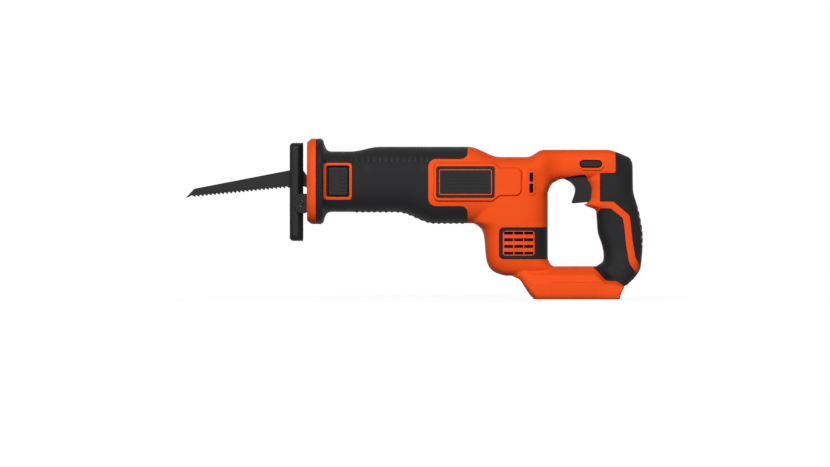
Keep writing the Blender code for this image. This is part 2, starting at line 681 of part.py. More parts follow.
def carve(target, *tools, keep=False):
    """The same for the housing's thin shells, with the solver that holds there."""
    for tool in tools:
        combine(target, tool, "DIFFERENCE", keep, "MANIFOLD")
    return target


def shared(target, tool):
    """What two work objects share."""
    return combine(target, tool, "INTERSECT", solver="MANIFOLD")


def copy_of(piece):
    """A second work object with its own mesh."""
    twin = bpy.data.objects.new("work", piece.data.copy())
    bpy.context.scene.collection.objects.link(twin)
    return twin


def finish(name, piece, material, pivot=(0.0, 0.0, 0.0)):
    """Names a piece, gives it its material and sets its origin, under the saw's empty."""
    piece.name = name
    piece.data.name = name
    piece.data.materials.clear()
    piece.data.materials.append(bpy.data.materials[material])
    piece.data.transform(Matrix.Translation(-Vector(pivot)))
    piece.location = pivot
    piece.parent = bpy.data.objects["saw"]
    if piece.type == "MESH":
        bm = bmesh.new()
        bm.from_mesh(piece.data)
        bmesh.ops.dissolve_limit(bm, angle_limit=FLAT_ANGLE, verts=bm.verts[:], edges=bm.edges[:])
        bm.to_mesh(piece.data)
        bm.free()
        piece.data.shade_smooth()
        piece.data.set_sharp_from_angle(angle=math.radians(35))


def make_material(name, colour, roughness, metallic=0.0):
    """A plain Principled material."""
    material = bpy.data.materials.new(name)
    material.use_nodes = True
    shader = material.node_tree.nodes["Principled BSDF"]
    shader.inputs["Base Color"].default_value = (*colour, 1.0)
    shader.inputs["Roughness"].default_value = roughness
    shader.inputs["Metallic"].default_value = metallic


def make_materials():
    """Finishes of the saw's pieces."""
    make_material("orange_plastic", (0.85, 0.085, 0.012), 0.38)
    make_material("soft_grip", (0.030, 0.030, 0.032), 0.62)
    make_material("black_plastic", (0.018, 0.018, 0.019), 0.50)
    make_material("black_steel", (0.022, 0.022, 0.023), 0.42, 0.8)
    make_material("bright_steel", (0.55, 0.55, 0.56), 0.28, 1.0)
    make_material("zinc_steel", (0.42, 0.42, 0.44), 0.40, 1.0)
    make_material("cast_aluminium", (0.50, 0.51, 0.52), 0.48, 1.0)
    make_material("sintered_bronze", (0.42, 0.27, 0.12), 0.45, 1.0)
    make_material("copper", (0.72, 0.33, 0.18), 0.35, 1.0)
    make_material("ferrite", (0.055, 0.052, 0.050), 0.70)
    make_material("carbon", (0.035, 0.035, 0.036), 0.65)
    make_material("white_nylon", (0.70, 0.69, 0.65), 0.45)
    make_material("red_wire", (0.45, 0.020, 0.018), 0.45)
    make_material("black_wire", (0.020, 0.020, 0.021), 0.45)


def body(inset, points):
    """The whole outer form of the housing, moved in by an inset."""
    barrel = loft("X", (BARREL_LOW, BARREL_TOP, BARREL_WIDTH), BARREL_POWER, points, inset)
    block = loft("Z", (BLOCK_FRONT, BLOCK_REAR, BLOCK_WIDTH), BLOCK_POWER, points, inset)
    grip = loft("Z", (GRIP_FRONT, GRIP_REAR, GRIP_WIDTH), GRIP_POWER, points, inset)
    foot = loft("X", (FOOT_LOW, FOOT_TOP, FOOT_WIDTH), FOOT_POWER, points, inset, FOOT_TAPER)
    everywhere = (-2 * HALF_SPACE, 2 * HALF_SPACE)
    return carve(joined(barrel, block, grip, foot), box(everywhere, everywhere, (-HALF_SPACE, inset)))


def around(centre, size, radius=0.0):
    """A rounded rectangle about a centre."""
    half = (size[0] / 2, size[1] / 2)
    low = (centre[0] - half[0], centre[1] - half[1])
    return box_outline(low, (centre[0] + half[0], centre[1] + half[1]), radius)


def nose_opening(start, end):
    """Cutter for the opening that the blade clamp and the shoe's bracket reach through."""
    low = (-NOSE_HALF_WIDTH, AXIS_Z - NOSE_DROP)
    return prism(box_outline(low, (NOSE_HALF_WIDTH, AXIS_Z + NOSE_RISE), NOSE_CORNER), "X", start, end)


def bezel_outline():
    """Outer edge of the frame round the blade release."""
    width = 2 * (BUTTON_HALF_LENGTH + BEZEL_GAP + BEZEL_WIDTH)
    height = 2 * (BUTTON_HALF_HEIGHT + BEZEL_GAP + BEZEL_WIDTH)
    return around((BUTTON_X, BUTTON_Z), (width, height), 0.003)


def window_outline():
    """Edge of the grille that shows inside the vent's dark frame."""
    return around(VENT_CENTRE, VENT_WINDOW, 0.003)


def vent_slots():
    """Cutters for the motor's vents and the two slots above them, through both sides."""
    outlines = []
    for column in range(VENT_COLUMNS):
        for row in range(VENT_ROWS):
            x = VENT_CENTRE[0] + (column - (VENT_COLUMNS - 1) / 2) * VENT_PITCH[0]
            z = VENT_CENTRE[1] + (row - (VENT_ROWS - 1) / 2) * VENT_PITCH[1]
            outlines.append(around((x, z), VENT_SLOT))
    for side in (-1, 1):
        outlines.append(around((SIDE_SLOT_X, SIDE_SLOT_Z + side * SIDE_SLOT_PITCH / 2), SIDE_SLOT))
    return prisms(outlines, "Y", -HALF_SPACE, HALF_SPACE)


def battery_bay():
    """Cutters for the slot that the battery's rails slide into, open below and behind."""
    reach = (BAY_FRONT_X, HALF_SPACE)
    wide = box(reach, (-BAY_HALF_WIDTH, BAY_HALF_WIDTH), (MOUTH_HEIGHT, BAY_TOP_Z))
    mouth = box(reach, (-MOUTH_HALF_WIDTH, MOUTH_HALF_WIDTH), (-WALL, MOUTH_HEIGHT + GAP))
    return joined(wide, mouth)


def screw_heads():
    """Cutters for the screw heads, from the right side down to their seats."""
    outlines = [circle(place, SCREW_HEAD_RADIUS + GAP, 12) for place in SCREW_PLACES]
    return prisms(outlines, "Y", SCREW_SEAT_Y, HALF_SPACE)


def works_cavity():
    """The hollow of the housing, less the ribs and bosses that stand in it."""
    hollow = body(CAVITY, INNER_POINTS)
    across = (-HALF_SPACE, HALF_SPACE)
    joined(hollow, prism(case_outline(CASE_REAR_X, -GAP), "Z", CASE_LOW_Z - GAP, CASE_SPLIT_Z + GAP))
    for place in (TUBE_FRONT_X + 0.006, TUBE_REAR_X - 0.040):
        rib = box((place - RIB / 2, place + RIB / 2), across, (0.0, HALF_SPACE))
        cut(hollow, cut(rib, cylinder("X", (0, AXIS_Z), TUBE_RADIUS + GAP, -HALF_SPACE, 0, 24)))
    for place in (CAN_LOW_Z + 0.0105, CAN_TOP_Z - 0.012):
        rib = box((BLOCK_FRONT_X - 0.02, GAP_FRONT_X), across, (place - RIB / 2, place + RIB / 2))
        cut(rib, cylinder("Z", (MOTOR_X, 0), MOTOR_RADIUS + GAP, 0, HALF_SPACE, 28))
        cut(rib, box((MOTOR_X, 0), (-0.006, -0.001), (0, HALF_SPACE)))
        cut(hollow, rib)
    shelf = box((GRIP_FRONT_X, HALF_SPACE), across, (SWITCH_LOW_Z - GAP - RIB, SWITCH_LOW_Z - GAP))
    cut(hollow, cut(shelf, cylinder("Z", (LEAD_TOP_X, LEAD_Y), 2 * LEAD_RADIUS, 0, HALF_SPACE, 12)))
    floor = (-HALF_SPACE, BAY_TOP_Z + WALL)
    cut(hollow, box((BAY_FRONT_X - TERMINAL_LENGTH - WALL, HALF_SPACE), across, floor))
    cut(hollow, prisms([circle(place, BOSS_RADIUS, 12) for place in SCREW_PLACES], "Y", *across))
    channel = (LEAD_Y - LEAD_RADIUS - 2 * GAP, LEAD_Y + LEAD_RADIUS + 2 * GAP)
    low = LEAD_LOW_Z - LEAD_RADIUS - GAP
    joined(hollow, box((BAY_FRONT_X, LEAD_RISE_X + RUN), channel, (low, LEAD_LOW_Z + LEAD_RADIUS + GAP)))
    joined(hollow, box((LEAD_RISE_X - 2 * RUN, LEAD_RISE_X + RUN), channel, (low, BLOCK_LOW_Z)))
    bridge = (BUTTON_X - 0.004, BUTTON_X + 0.004)
    cut(hollow, box(bridge, (bridge_y(), bridge_y() + RIB * 0.75), (0, HALF_SPACE)))
    return hollow


def housing_openings():
    """Cutters for everything that opens the housing to the outside, apart from its screws."""
    half = TRIGGER_HALF_WIDTH + GAP
    button = (2 * (BUTTON_HALF_LENGTH + GAP), 2 * (BUTTON_HALF_HEIGHT + GAP))
    pocket = (button[0] + 2 * BUTTON_LIP, button[1] + 2 * BUTTON_LIP)
    lock = (LOCK_LENGTH + 2 * GAP, LOCK_HEIGHT + 2 * GAP)
    spring = SPRING_RADIUS + SPRING_WIRE
    terminal_top = TERMINAL_LOW_Z + TERMINAL_HEIGHT + 0.004
    return [
        nose_opening(NOSE_X - COLLAR_LENGTH, NOSE_X + CAVITY + RUN),
        box((TRIGGER_X - RUN, TRIGGER_TAIL_X + TRIGGER_TRAVEL + RUN), (-half, half),
            (NUB_Z + GAP, GAP_TOP_Z + TRIGGER_ROOT + RUN)),
        prism(around((LOCK_X, LOCK_Z), lock, lock[1] / 2), "Y", -HALF_SPACE, HALF_SPACE),
        prism(around((BUTTON_X, BUTTON_Z), button, 0.0025), "Y", -HALF_SPACE, bridge_y() - RUN),
        prism(around((BUTTON_X, BUTTON_Z), pocket, 0.0025), "Y", button_lip_y() - GAP, bridge_y() - RUN),
        cylinder("Y", (BUTTON_X, BUTTON_Z), spring, button_lip_y(), bridge_y() - GAP, 12),
        vent_slots(),
        battery_bay(),
        box((BAY_FRONT_X - TERMINAL_LENGTH - GAP, BAY_FRONT_X + GAP),
            (-TERMINAL_HALF_WIDTH - GAP, TERMINAL_HALF_WIDTH + GAP), (TERMINAL_LOW_Z - GAP, terminal_top)),
    ]


def half_of(piece, side):
    """The left or the right half of a work object, short of the seam by half a gap."""
    across = (-HALF_SPACE, -GAP / 2) if side == "left" else (GAP / 2, HALF_SPACE)
    everywhere = (-2 * HALF_SPACE, 2 * HALF_SPACE)
    return shared(copy_of(piece), box(everywhere, across, everywhere))


def make_housings(outer, under):
    """The two halves of the housing, recessed for the grips and badges."""
    across = (-HALF_SPACE, HALF_SPACE)
    recess = prisms([rounded(item) for item in (FRONT_GRIP, REAR_GRIP, PALM_GRIP, BADGE)], "Y", *across)
    vents = prism(rounded(VENT_SURROUND), "Y", *across)
    joined(recess, cut(vents, prism(window_outline(), "Y", *across)))
    carve(recess, prism(bezel_outline(), "Y", -HALF_SPACE, 0), under)
    hollow = works_cavity()
    shanks = [circle(place, SCREW_RADIUS + GAP, 12) for place in SCREW_PLACES]
    for side in ("left", "right"):
        half = half_of(outer, side)
        carve(half, recess, hollow, keep=True)
        carve(half, *housing_openings(), screw_heads())
        carve(half, prisms(shanks, "Y", SCREW_SEAT_Y - SCREW_LENGTH - RUN, SCREW_SEAT_Y + GAP))
        finish(side + "_housing", half, "orange_plastic")
    bpy.data.objects.remove(recess)
    bpy.data.objects.remove(hollow)


def make_skin(name, outline, material, outer, inner, side, cutters=()):
    """A soft skin or plate of one side: what lies under a side-view outline, down to its thickness."""
    near, far = (-HALF_SPACE, -GAP / 2) if side == "left" else (GAP / 2, HALF_SPACE)
    skin = shared(copy_of(outer), prism(grown(rounded(outline), -GAP), "Y", near, far))
    carve(skin, inner, keep=True)
    carve(skin, *cutters)
    finish(side + "_" + name, skin, material)


def make_skins(outer):
    """Grips, vent frames and badges of both sides."""
    inner = body(SKIN, OUTER_POINTS)
    nose = (NOSE_X - COLLAR_LENGTH, NOSE_X + CAVITY)
    for side in ("left", "right"):
        bezel = prism(grown(bezel_outline(), GAP), "Y", -HALF_SPACE, 0)
        window = prism(grown(window_outline(), GAP), "Y", -HALF_SPACE, HALF_SPACE)
        holes = [bezel] if side == "left" else [screw_heads()]
        make_skin("front_grip", FRONT_GRIP, "soft_grip", outer, inner, side, [nose_opening(*nose)] + holes)
        make_skin("rear_grip", REAR_GRIP, "soft_grip", outer, inner, side)
        holes = [battery_bay()] + ([] if side == "left" else [screw_heads()])
        make_skin("palm_grip", PALM_GRIP, "soft_grip", outer, inner, side, holes)
        make_skin("vent_frame", VENT_SURROUND, "soft_grip", outer, inner, side, [window])
        make_skin("badge", BADGE, "black_plastic", outer, inner, side)
        if side == "right":
            bpy.data.objects.remove(bezel)
    bpy.data.objects.remove(inner)


def make_collar():
    """The ring in front of the housing, with a chamfered front edge."""
    top = [
        (COLLAR_X, AXIS_Z + FLANGE_HALF_HEIGHT - COLLAR_CHAMFER),
        (COLLAR_X + COLLAR_CHAMFER, AXIS_Z + FLANGE_HALF_HEIGHT),
        (COLLAR_REAR_X, AXIS_Z + FLANGE_HALF_HEIGHT),
    ]
    low = [(x, 2 * AXIS_Z - z) for x, z in top]
    half = [(x, z - AXIS_Z - FLANGE_HALF_HEIGHT + FLANGE_HALF_WIDTH) for x, z in top]
    ring = loft("X", (low, top, half), BARREL_POWER, OUTER_POINTS)
    cut(ring, nose_opening(COLLAR_X - RUN, COLLAR_REAR_X + RUN))
    finish("nose_collar", ring, "orange_plastic")


def make_screws():
    """Housing screws, put in from the right."""
    for number, place in enumerate(SCREW_PLACES, 1):
        shank = cylinder("Y", place, SCREW_RADIUS, SCREW_SEAT_Y - SCREW_LENGTH, SCREW_SEAT_Y + 2 * GAP, 10)
        seat = SCREW_SEAT_Y + GAP
        head = cylinder("Y", place, SCREW_HEAD_RADIUS, seat, SCREW_SEAT_Y + SCREW_HEAD_HEIGHT, 12)
        finish("housing_screw_%d" % number, joined(head, shank), "zinc_steel")


def gear_outline(teeth, phase):
    """Involute teeth about the origin, with a tooth at the phase angle."""
    pitch = MODULE * teeth / 2
    base = pitch * math.cos(PRESSURE_ANGLE)
    root = pitch - DEDENDUM * MODULE
    tip = pitch + ADDENDUM * MODULE

    def spread(radius):
        angle = math.acos(min(1.0, base / radius))
        shift = math.tan(PRESSURE_ANGLE) - PRESSURE_ANGLE - math.tan(angle) + angle
        return math.pi / (2 * teeth) - BACKLASH / (4 * pitch) + shift

    start = max(base, root)
    flank = [(root, spread(start))] if root < base else []
    for step in range(3):
        radius = start + (tip - start) * step / 2
        flank.append((radius, spread(radius)))
    points = []
    for tooth in range(teeth):
        middle = phase + 2 * math.pi * tooth / teeth
        for radius, half in flank:
            points.append((radius * math.cos(middle - half), radius * math.sin(middle - half)))
        for radius, half in reversed(flank):
            points.append((radius * math.cos(middle + half), radius * math.sin(middle + half)))
    return points


def moved(outline, centre):
    """An outline carried to a centre."""
    return [(x + centre[0], y + centre[1]) for x, y in outline]


def case_outline(rear, inset):
    """Plan of the gear case, from its front to a given rear end."""
    low = (CASE_FRONT_X + inset, -CASE_HALF_WIDTH + inset)
    return box_outline(low, (rear - inset, CASE_HALF_WIDTH - inset), CASE_CORNER - inset)


def make_gear_case():
    """The open tray that the gear turns in, and the cover over the yoke."""
    tray = prism(case_outline(CASE_REAR_X, 0), "Z", CASE_LOW_Z, CASE_SPLIT_Z)
    cut(tray, prism(case_outline(CASE_REAR_X, CASE_WALL), "Z", CASE_LOW_Z + CASE_FLOOR, CASE_SPLIT_Z + RUN))
    cut(tray, cylinder("Z", (GEAR_X, 0), AXLE_RADIUS + GAP, 0, HALF_SPACE))
    cut(tray, cylinder("Z", (MOTOR_X, 0), SHAFT_RADIUS + RUN, 0, HALF_SPACE))
    finish("gear_case", tray, "cast_aluminium")
    top = YOKE_HIGH_Z + RUN
    cover = prism(case_outline(COVER_REAR_X, 0), "Z", CASE_SPLIT_Z + GAP, top + CASE_WALL)
    cut(cover, prism(case_outline(COVER_REAR_X, CASE_WALL), "Z", 0, top))
    cut(cover, cylinder("X", (0, AXIS_Z), PLUNGER_RADIUS + GAP, CASE_FRONT_X - RUN, GEAR_X, 24))
    finish("gear_cover", cover, "cast_aluminium")


def ring(axis, centre, outer, inner, start, end, count=24):
    """A round sleeve along an axis."""
    hole = cylinder(axis, centre, inner, start - RUN, end + RUN, count)
    return cut(cylinder(axis, centre, outer, start, end, count), hole)


def make_guides():
    """The tube that carries the plunger, with a bush at each end."""
    line_at = (0, AXIS_Z)
    tube = ring("X", line_at, TUBE_RADIUS, BUSH_RADIUS + GAP, TUBE_FRONT_X, TUBE_REAR_X, 24)
    finish("plunger_tube", tube, "cast_aluminium")
    starts = {"front_bush": TUBE_FRONT_X + RUN, "rear_bush": TUBE_REAR_X - RUN - BUSH_LENGTH}
    for name, start in starts.items():
        bush = ring("X", line_at, BUSH_RADIUS, PLUNGER_RADIUS + GAP, start, start + BUSH_LENGTH, 24)
        finish(name, bush, "sintered_bronze")


def make_gear_train():
    """The crank gear on its axle, with the pin and roller that drive the yoke."""
    axis = (GEAR_X, 0, 0)
    bore = AXLE_RADIUS + GAP + BEARING_WALL
    crank = (GEAR_X, -CRANK_RADIUS)
    gear = prism(moved(gear_outline(GEAR_TEETH, 0), axis), "Z", GEAR_LOW_Z, GEAR_TOP_Z)
    cut(gear, cylinder("Z", axis, bore + GAP, 0, HALF_SPACE, 24))
    cut(gear, cylinder("Z", crank, CRANK_PIN_RADIUS + GAP, 0, HALF_SPACE, 16))
    finish("drive_gear", gear, "zinc_steel", axis)
    bearing = ring("Z", axis, bore, AXLE_RADIUS + GAP, GEAR_LOW_Z, GEAR_TOP_Z)
    finish("gear_bearing", bearing, "bright_steel", axis)
    axle = cylinder("Z", axis, AXLE_RADIUS, CASE_LOW_Z, GEAR_TOP_Z + GAP)
    finish("gear_axle", axle, "bright_steel")
    pin = cylinder("Z", crank, CRANK_PIN_RADIUS, GEAR_LOW_Z, AXIS_Z - 2 * GAP, 16)
    finish("crank_pin", pin, "bright_steel", axis)
    roller = ring("Z", crank, ROLLER_RADIUS, CRANK_PIN_RADIUS + GAP, GEAR_TOP_Z + GAP, AXIS_Z - RUN, 20)
    finish("crank_roller", roller, "bright_steel", axis)


def make_plunger():
    """The plunger: a bar with the yoke that the crank drives and a slotted head for the blade."""
    head_rear = HEAD_FRONT_X + HEAD_LENGTH
    bar = cylinder("X", (0, AXIS_Z), PLUNGER_RADIUS, head_rear - RUN, GEAR_X, 24)
    head = cylinder("X", (0, AXIS_Z), HEAD_RADIUS, HEAD_FRONT_X, head_rear, 24)
    half_length = SLOT_HALF_LENGTH + YOKE_WALL
    half_width = SLOT_HALF_WIDTH + YOKE_WALL
    yoke_x = (GEAR_X - half_length, GEAR_X + half_length)
    yoke = box(yoke_x, (-half_width, half_width), (YOKE_LOW_Z, YOKE_HIGH_Z))
    joined(bar, head, yoke)
    slot = (GEAR_X - SLOT_HALF_LENGTH, GEAR_X + SLOT_HALF_LENGTH)
    cut(bar, box(slot, (-SLOT_HALF_WIDTH, SLOT_HALF_WIDTH), (0, AXIS_Z)))
    tang_end = BLADE_TIP_X + BLADE_LENGTH + GAP
    half = BLADE_THICKNESS / 2 + GAP
    tang = TANG_HEIGHT / 2 + GAP
    cut(bar, box((HEAD_FRONT_X - RUN, tang_end), (-half, half), (AXIS_Z - tang, AXIS_Z + tang)))
    cut(bar, cylinder("Y", clamp_pin_place(), CLAMP_PIN_RADIUS + GAP, -HALF_SPACE, HALF_SPACE, 16))
    finish("plunger", bar, "bright_steel", (0, 0, AXIS_Z))


def clamp_pin_place():
    """Middle of the clamp's sleeve, where the pin holds the blade's tang."""
    return (HEAD_FRONT_X + 2 * RUN + SLEEVE_LENGTH / 2, AXIS_Z)


def make_clamp():
    """The sleeve and pin that lock the blade into the plunger's head."""
    axis = (0, 0, AXIS_Z)
    start = HEAD_FRONT_X + 2 * RUN
    sleeve = ring("X", (0, AXIS_Z), SLEEVE_RADIUS, HEAD_RADIUS + GAP, start, start + SLEEVE_LENGTH, 24)
    finish("clamp_sleeve", sleeve, "black_steel", axis)
    pin = cylinder("Y", clamp_pin_place(), CLAMP_PIN_RADIUS, -HEAD_RADIUS, HEAD_RADIUS, 16)
    finish("clamp_pin", pin, "bright_steel", axis)


def make_blade():
    """The tapered wood blade: teeth along its lower edge and a tang with a hole."""
    shoulder = HEAD_FRONT_X - TANG_SHOWS
    tooth_start = Vector((BLADE_TIP_X + BLADE_TIP_HEIGHT, AXIS_Z - BLADE_TIP_DROP))
    heel = Vector((shoulder - TANG_SHOWS, AXIS_Z - BLADE_HEEL_DROP))
    along = (heel - tooth_start).normalized()
    up = Vector((-along.y, along.x))
    teeth = math.floor((heel - tooth_start).length / TOOTH_PITCH)
    points = [(BLADE_TIP_X, AXIS_Z - BLADE_TIP_DROP)]
    for tooth in range(teeth):
        valley = tooth_start + along * (tooth - 0.45) * TOOTH_PITCH + up * TOOTH_DEPTH
        points.append(tuple(valley))
        points.append(tuple(tooth_start + along * tooth * TOOTH_PITCH))
    tang = TANG_HEIGHT / 2
    tail = BLADE_TIP_X + BLADE_LENGTH
    points += [
        tuple(heel),
        (shoulder, AXIS_Z - tang),
        (tail, AXIS_Z - tang),
        (tail, AXIS_Z + tang),
        (shoulder, AXIS_Z + tang),
        (shoulder - TANG_SHOWS, AXIS_Z - BLADE_HEEL_DROP + BLADE_HEEL_HEIGHT),
        (BLADE_TIP_X + BLADE_TIP_HEIGHT, AXIS_Z - BLADE_TIP_DROP + BLADE_TIP_HEIGHT),
    ]
    blade = prism(points, "Y", -BLADE_THICKNESS / 2, BLADE_THICKNESS / 2)
    cut(blade, cylinder("Y", clamp_pin_place(), CLAMP_PIN_RADIUS + GAP, -HALF_SPACE, HALF_SPACE, 16))
    finish("blade", blade, "black_steel", (0, 0, AXIS_Z))


def make_shoe():
    """The channel that rests on the work, its pivot pin and the bracket that carries it."""
    pivot = (PIVOT_X, PIVOT_Z)
    rear = SHOE_FRONT_X + SHOE_DEPTH
    side = rounded([
        (SHOE_FRONT_X, SHOE_LOW_Z, SHOE_CORNER),
        (rear, SHOE_LOW_Z, 0),
        (rear, SHOE_TOP_Z - SHOE_PLATE, 0),
        (SHOE_FRONT_X + SHOE_DEPTH * 0.65, SHOE_TOP_Z, 0),
        (SHOE_FRONT_X, SHOE_TOP_Z, SHOE_CORNER),
    ])
    shoe = prism(side, "Y", -SHOE_HALF_WIDTH, SHOE_HALF_WIDTH)
    joined(shoe, cylinder("Y", pivot, PIVOT_EAR_RADIUS, -SHOE_HALF_WIDTH, SHOE_HALF_WIDTH))
    inside = SHOE_HALF_WIDTH - SHOE_PLATE
    cut(shoe, box((SHOE_FRONT_X + SHOE_PLATE, 0), (-inside, inside), (0, HALF_SPACE)))
    slot = (-SHOE_SLOT_HALF_WIDTH, SHOE_SLOT_HALF_WIDTH)
    cut(shoe, box((-HALF_SPACE - 0.2, 0), slot, (SHOE_SLOT_LOW_Z, SHOE_SLOT_HIGH_Z)))
    cut(shoe, cylinder("Y", pivot, PIVOT_PIN_RADIUS + GAP, -HALF_SPACE, HALF_SPACE, 16))
    finish("shoe", shoe, "black_steel", (PIVOT_X, 0, PIVOT_Z))
    arm_inside = SHOE_HALF_WIDTH + GAP
    arm_outside = arm_inside + BRACKET_PLATE
    pin = cylinder("Y", pivot, PIVOT_PIN_RADIUS, -arm_outside - RUN, arm_outside + RUN, 16)
    finish("shoe_pin", pin, "zinc_steel", (PIVOT_X, 0, PIVOT_Z))
    plate_x = NOSE_X + CAVITY + GAP
    plate_z = (PIVOT_Z - 0.0025, PIVOT_Z + 0.0095)
    arm = [
        (plate_x + BRACKET_PLATE, plate_z[0], 0),
        (plate_x + BRACKET_PLATE, plate_z[1], 0),
        (PIVOT_X + 0.006, PIVOT_Z + BRACKET_RADIUS, 0.004),
        (PIVOT_X - 0.0062, PIVOT_Z + BRACKET_RADIUS, 0.006),
        (PIVOT_X - 0.0062, PIVOT_Z - BRACKET_RADIUS, 0.006),
        (PIVOT_X + 0.004, PIVOT_Z - BRACKET_RADIUS, 0.004),
    ]
    bracket = prism(rounded(arm), "Y", -arm_outside, arm_outside)
    cut(bracket, box((-HALF_SPACE - 0.2, plate_x), (-arm_inside, arm_inside), (0, HALF_SPACE)))
    ears = (-BRACKET_EAR_HALF_WIDTH, BRACKET_EAR_HALF_WIDTH)
    joined(bracket, box((plate_x, plate_x + BRACKET_PLATE), ears, plate_z))
    cut(bracket, cylinder("Y", pivot, PIVOT_PIN_RADIUS + GAP, -HALF_SPACE, HALF_SPACE, 16))
    finish("shoe_bracket", bracket, "black_steel")


def make_motor():
    """The motor: can, magnets, brushes and end bell, and the rotor that turns in them."""
    axis = (MOTOR_X, 0, 0)
    can = cylinder("Z", axis, MOTOR_RADIUS, CAN_LOW_Z, CAN_TOP_Z, 28)
    cut(can, cylinder("Z", axis, CAN_BORE, 0, CAN_TOP_Z - MOTOR_WALL, 28))
    cut(can, cylinder("Z", axis, SHAFT_RADIUS + GAP, 0, HALF_SPACE, 16))
    finish("motor_can", can, "zinc_steel")
    bell = cylinder("Z", axis, MOTOR_RADIUS, BELL_LOW_Z, BELL_LOW_Z + BELL_HEIGHT, 28)
    cut(bell, cylinder("Z", axis, SHAFT_RADIUS + GAP, 0, HALF_SPACE, 16))
    finish("motor_end_bell", bell, "black_plastic")
    commutator_z = CAN_LOW_Z + 2 * RUN
    armature_z = commutator_z + COMMUTATOR_LENGTH + RUN
    armature_top = armature_z + ARMATURE_LENGTH
    magnet_radius = CAN_BORE - GAP
    for name, side in (("front_magnet", -1), ("rear_magnet", 1)):
        magnet = ring("Z", axis, magnet_radius, magnet_radius - MAGNET_WALL, armature_z, armature_top, 28)
        edges = sorted((MOTOR_X + side * 0.004, MOTOR_X + side * 2 * MOTOR_RADIUS))
        shared(magnet, box(edges, (-HALF_SPACE, HALF_SPACE), (0, HALF_SPACE)))
        finish(name, magnet, "ferrite")
    brush_z = (commutator_z + RUN, commutator_z + RUN + BRUSH_SIDE)
    brush_start = COMMUTATOR_RADIUS + GAP
    for name, side in (("left_brush", -1), ("right_brush", 1)):
        reach = sorted((side * brush_start, side * (brush_start + 2 * BRUSH_SIDE)))
        brush = box((MOTOR_X - BRUSH_SIDE / 2, MOTOR_X + BRUSH_SIDE / 2), reach, brush_z)
        finish(name, brush, "carbon")
    bore = SHAFT_RADIUS + GAP
    shaft = cylinder("Z", axis, SHAFT_RADIUS, BELL_LOW_Z + RUN, GEAR_TOP_Z, 16)
    finish("rotor_shaft", shaft, "bright_steel", axis)
    poles = cylinder("Z", axis, ARMATURE_RADIUS, armature_z, armature_top, 30)
    finish("armature", cut(poles, cylinder("Z", axis, bore, 0, HALF_SPACE, 16)), "copper", axis)
    commutator = ring("Z", axis, COMMUTATOR_RADIUS, bore, commutator_z, commutator_z + COMMUTATOR_LENGTH, 20)
    finish("commutator", commutator, "copper", axis)
    make_fan(axis, armature_top + RUN)
    teeth = gear_outline(PINION_TEETH, math.pi / PINION_TEETH)
    pinion = prism(moved(teeth, axis), "Z", GEAR_LOW_Z, GEAR_TOP_Z)
    finish("pinion", cut(pinion, cylinder("Z", axis, bore, 0, HALF_SPACE, 16)), "bright_steel", axis)


def make_fan(axis, start):
    """The cooling fan: a disc with straight blades."""
    hub_top = start + FAN_HEIGHT / 3
    fan = cylinder("Z", axis, ARMATURE_RADIUS, start, hub_top, 24)
    bm = bmesh.new()
    for blade in range(FAN_BLADES):
        length = ARMATURE_RADIUS * 0.55
        middle = (ARMATURE_RADIUS * 0.65, 0, (hub_top + start + FAN_HEIGHT) / 2 - GAP)
        size = Matrix.Diagonal((length, FAN_BLADE_THICKNESS, start + FAN_HEIGHT - hub_top + 2 * GAP, 1))
        turn = Matrix.Rotation(2 * math.pi * blade / FAN_BLADES, 4, "Z")
        place = Matrix.Translation(axis) @ turn @ Matrix.Translation(middle) @ size
        bmesh.ops.create_cube(bm, size=1.0, matrix=place)
    joined(fan, solid(bm))
    cut(fan, cylinder("Z", axis, SHAFT_RADIUS + GAP, 0, HALF_SPACE, 16))
    finish("motor_fan", fan, "white_nylon", axis)


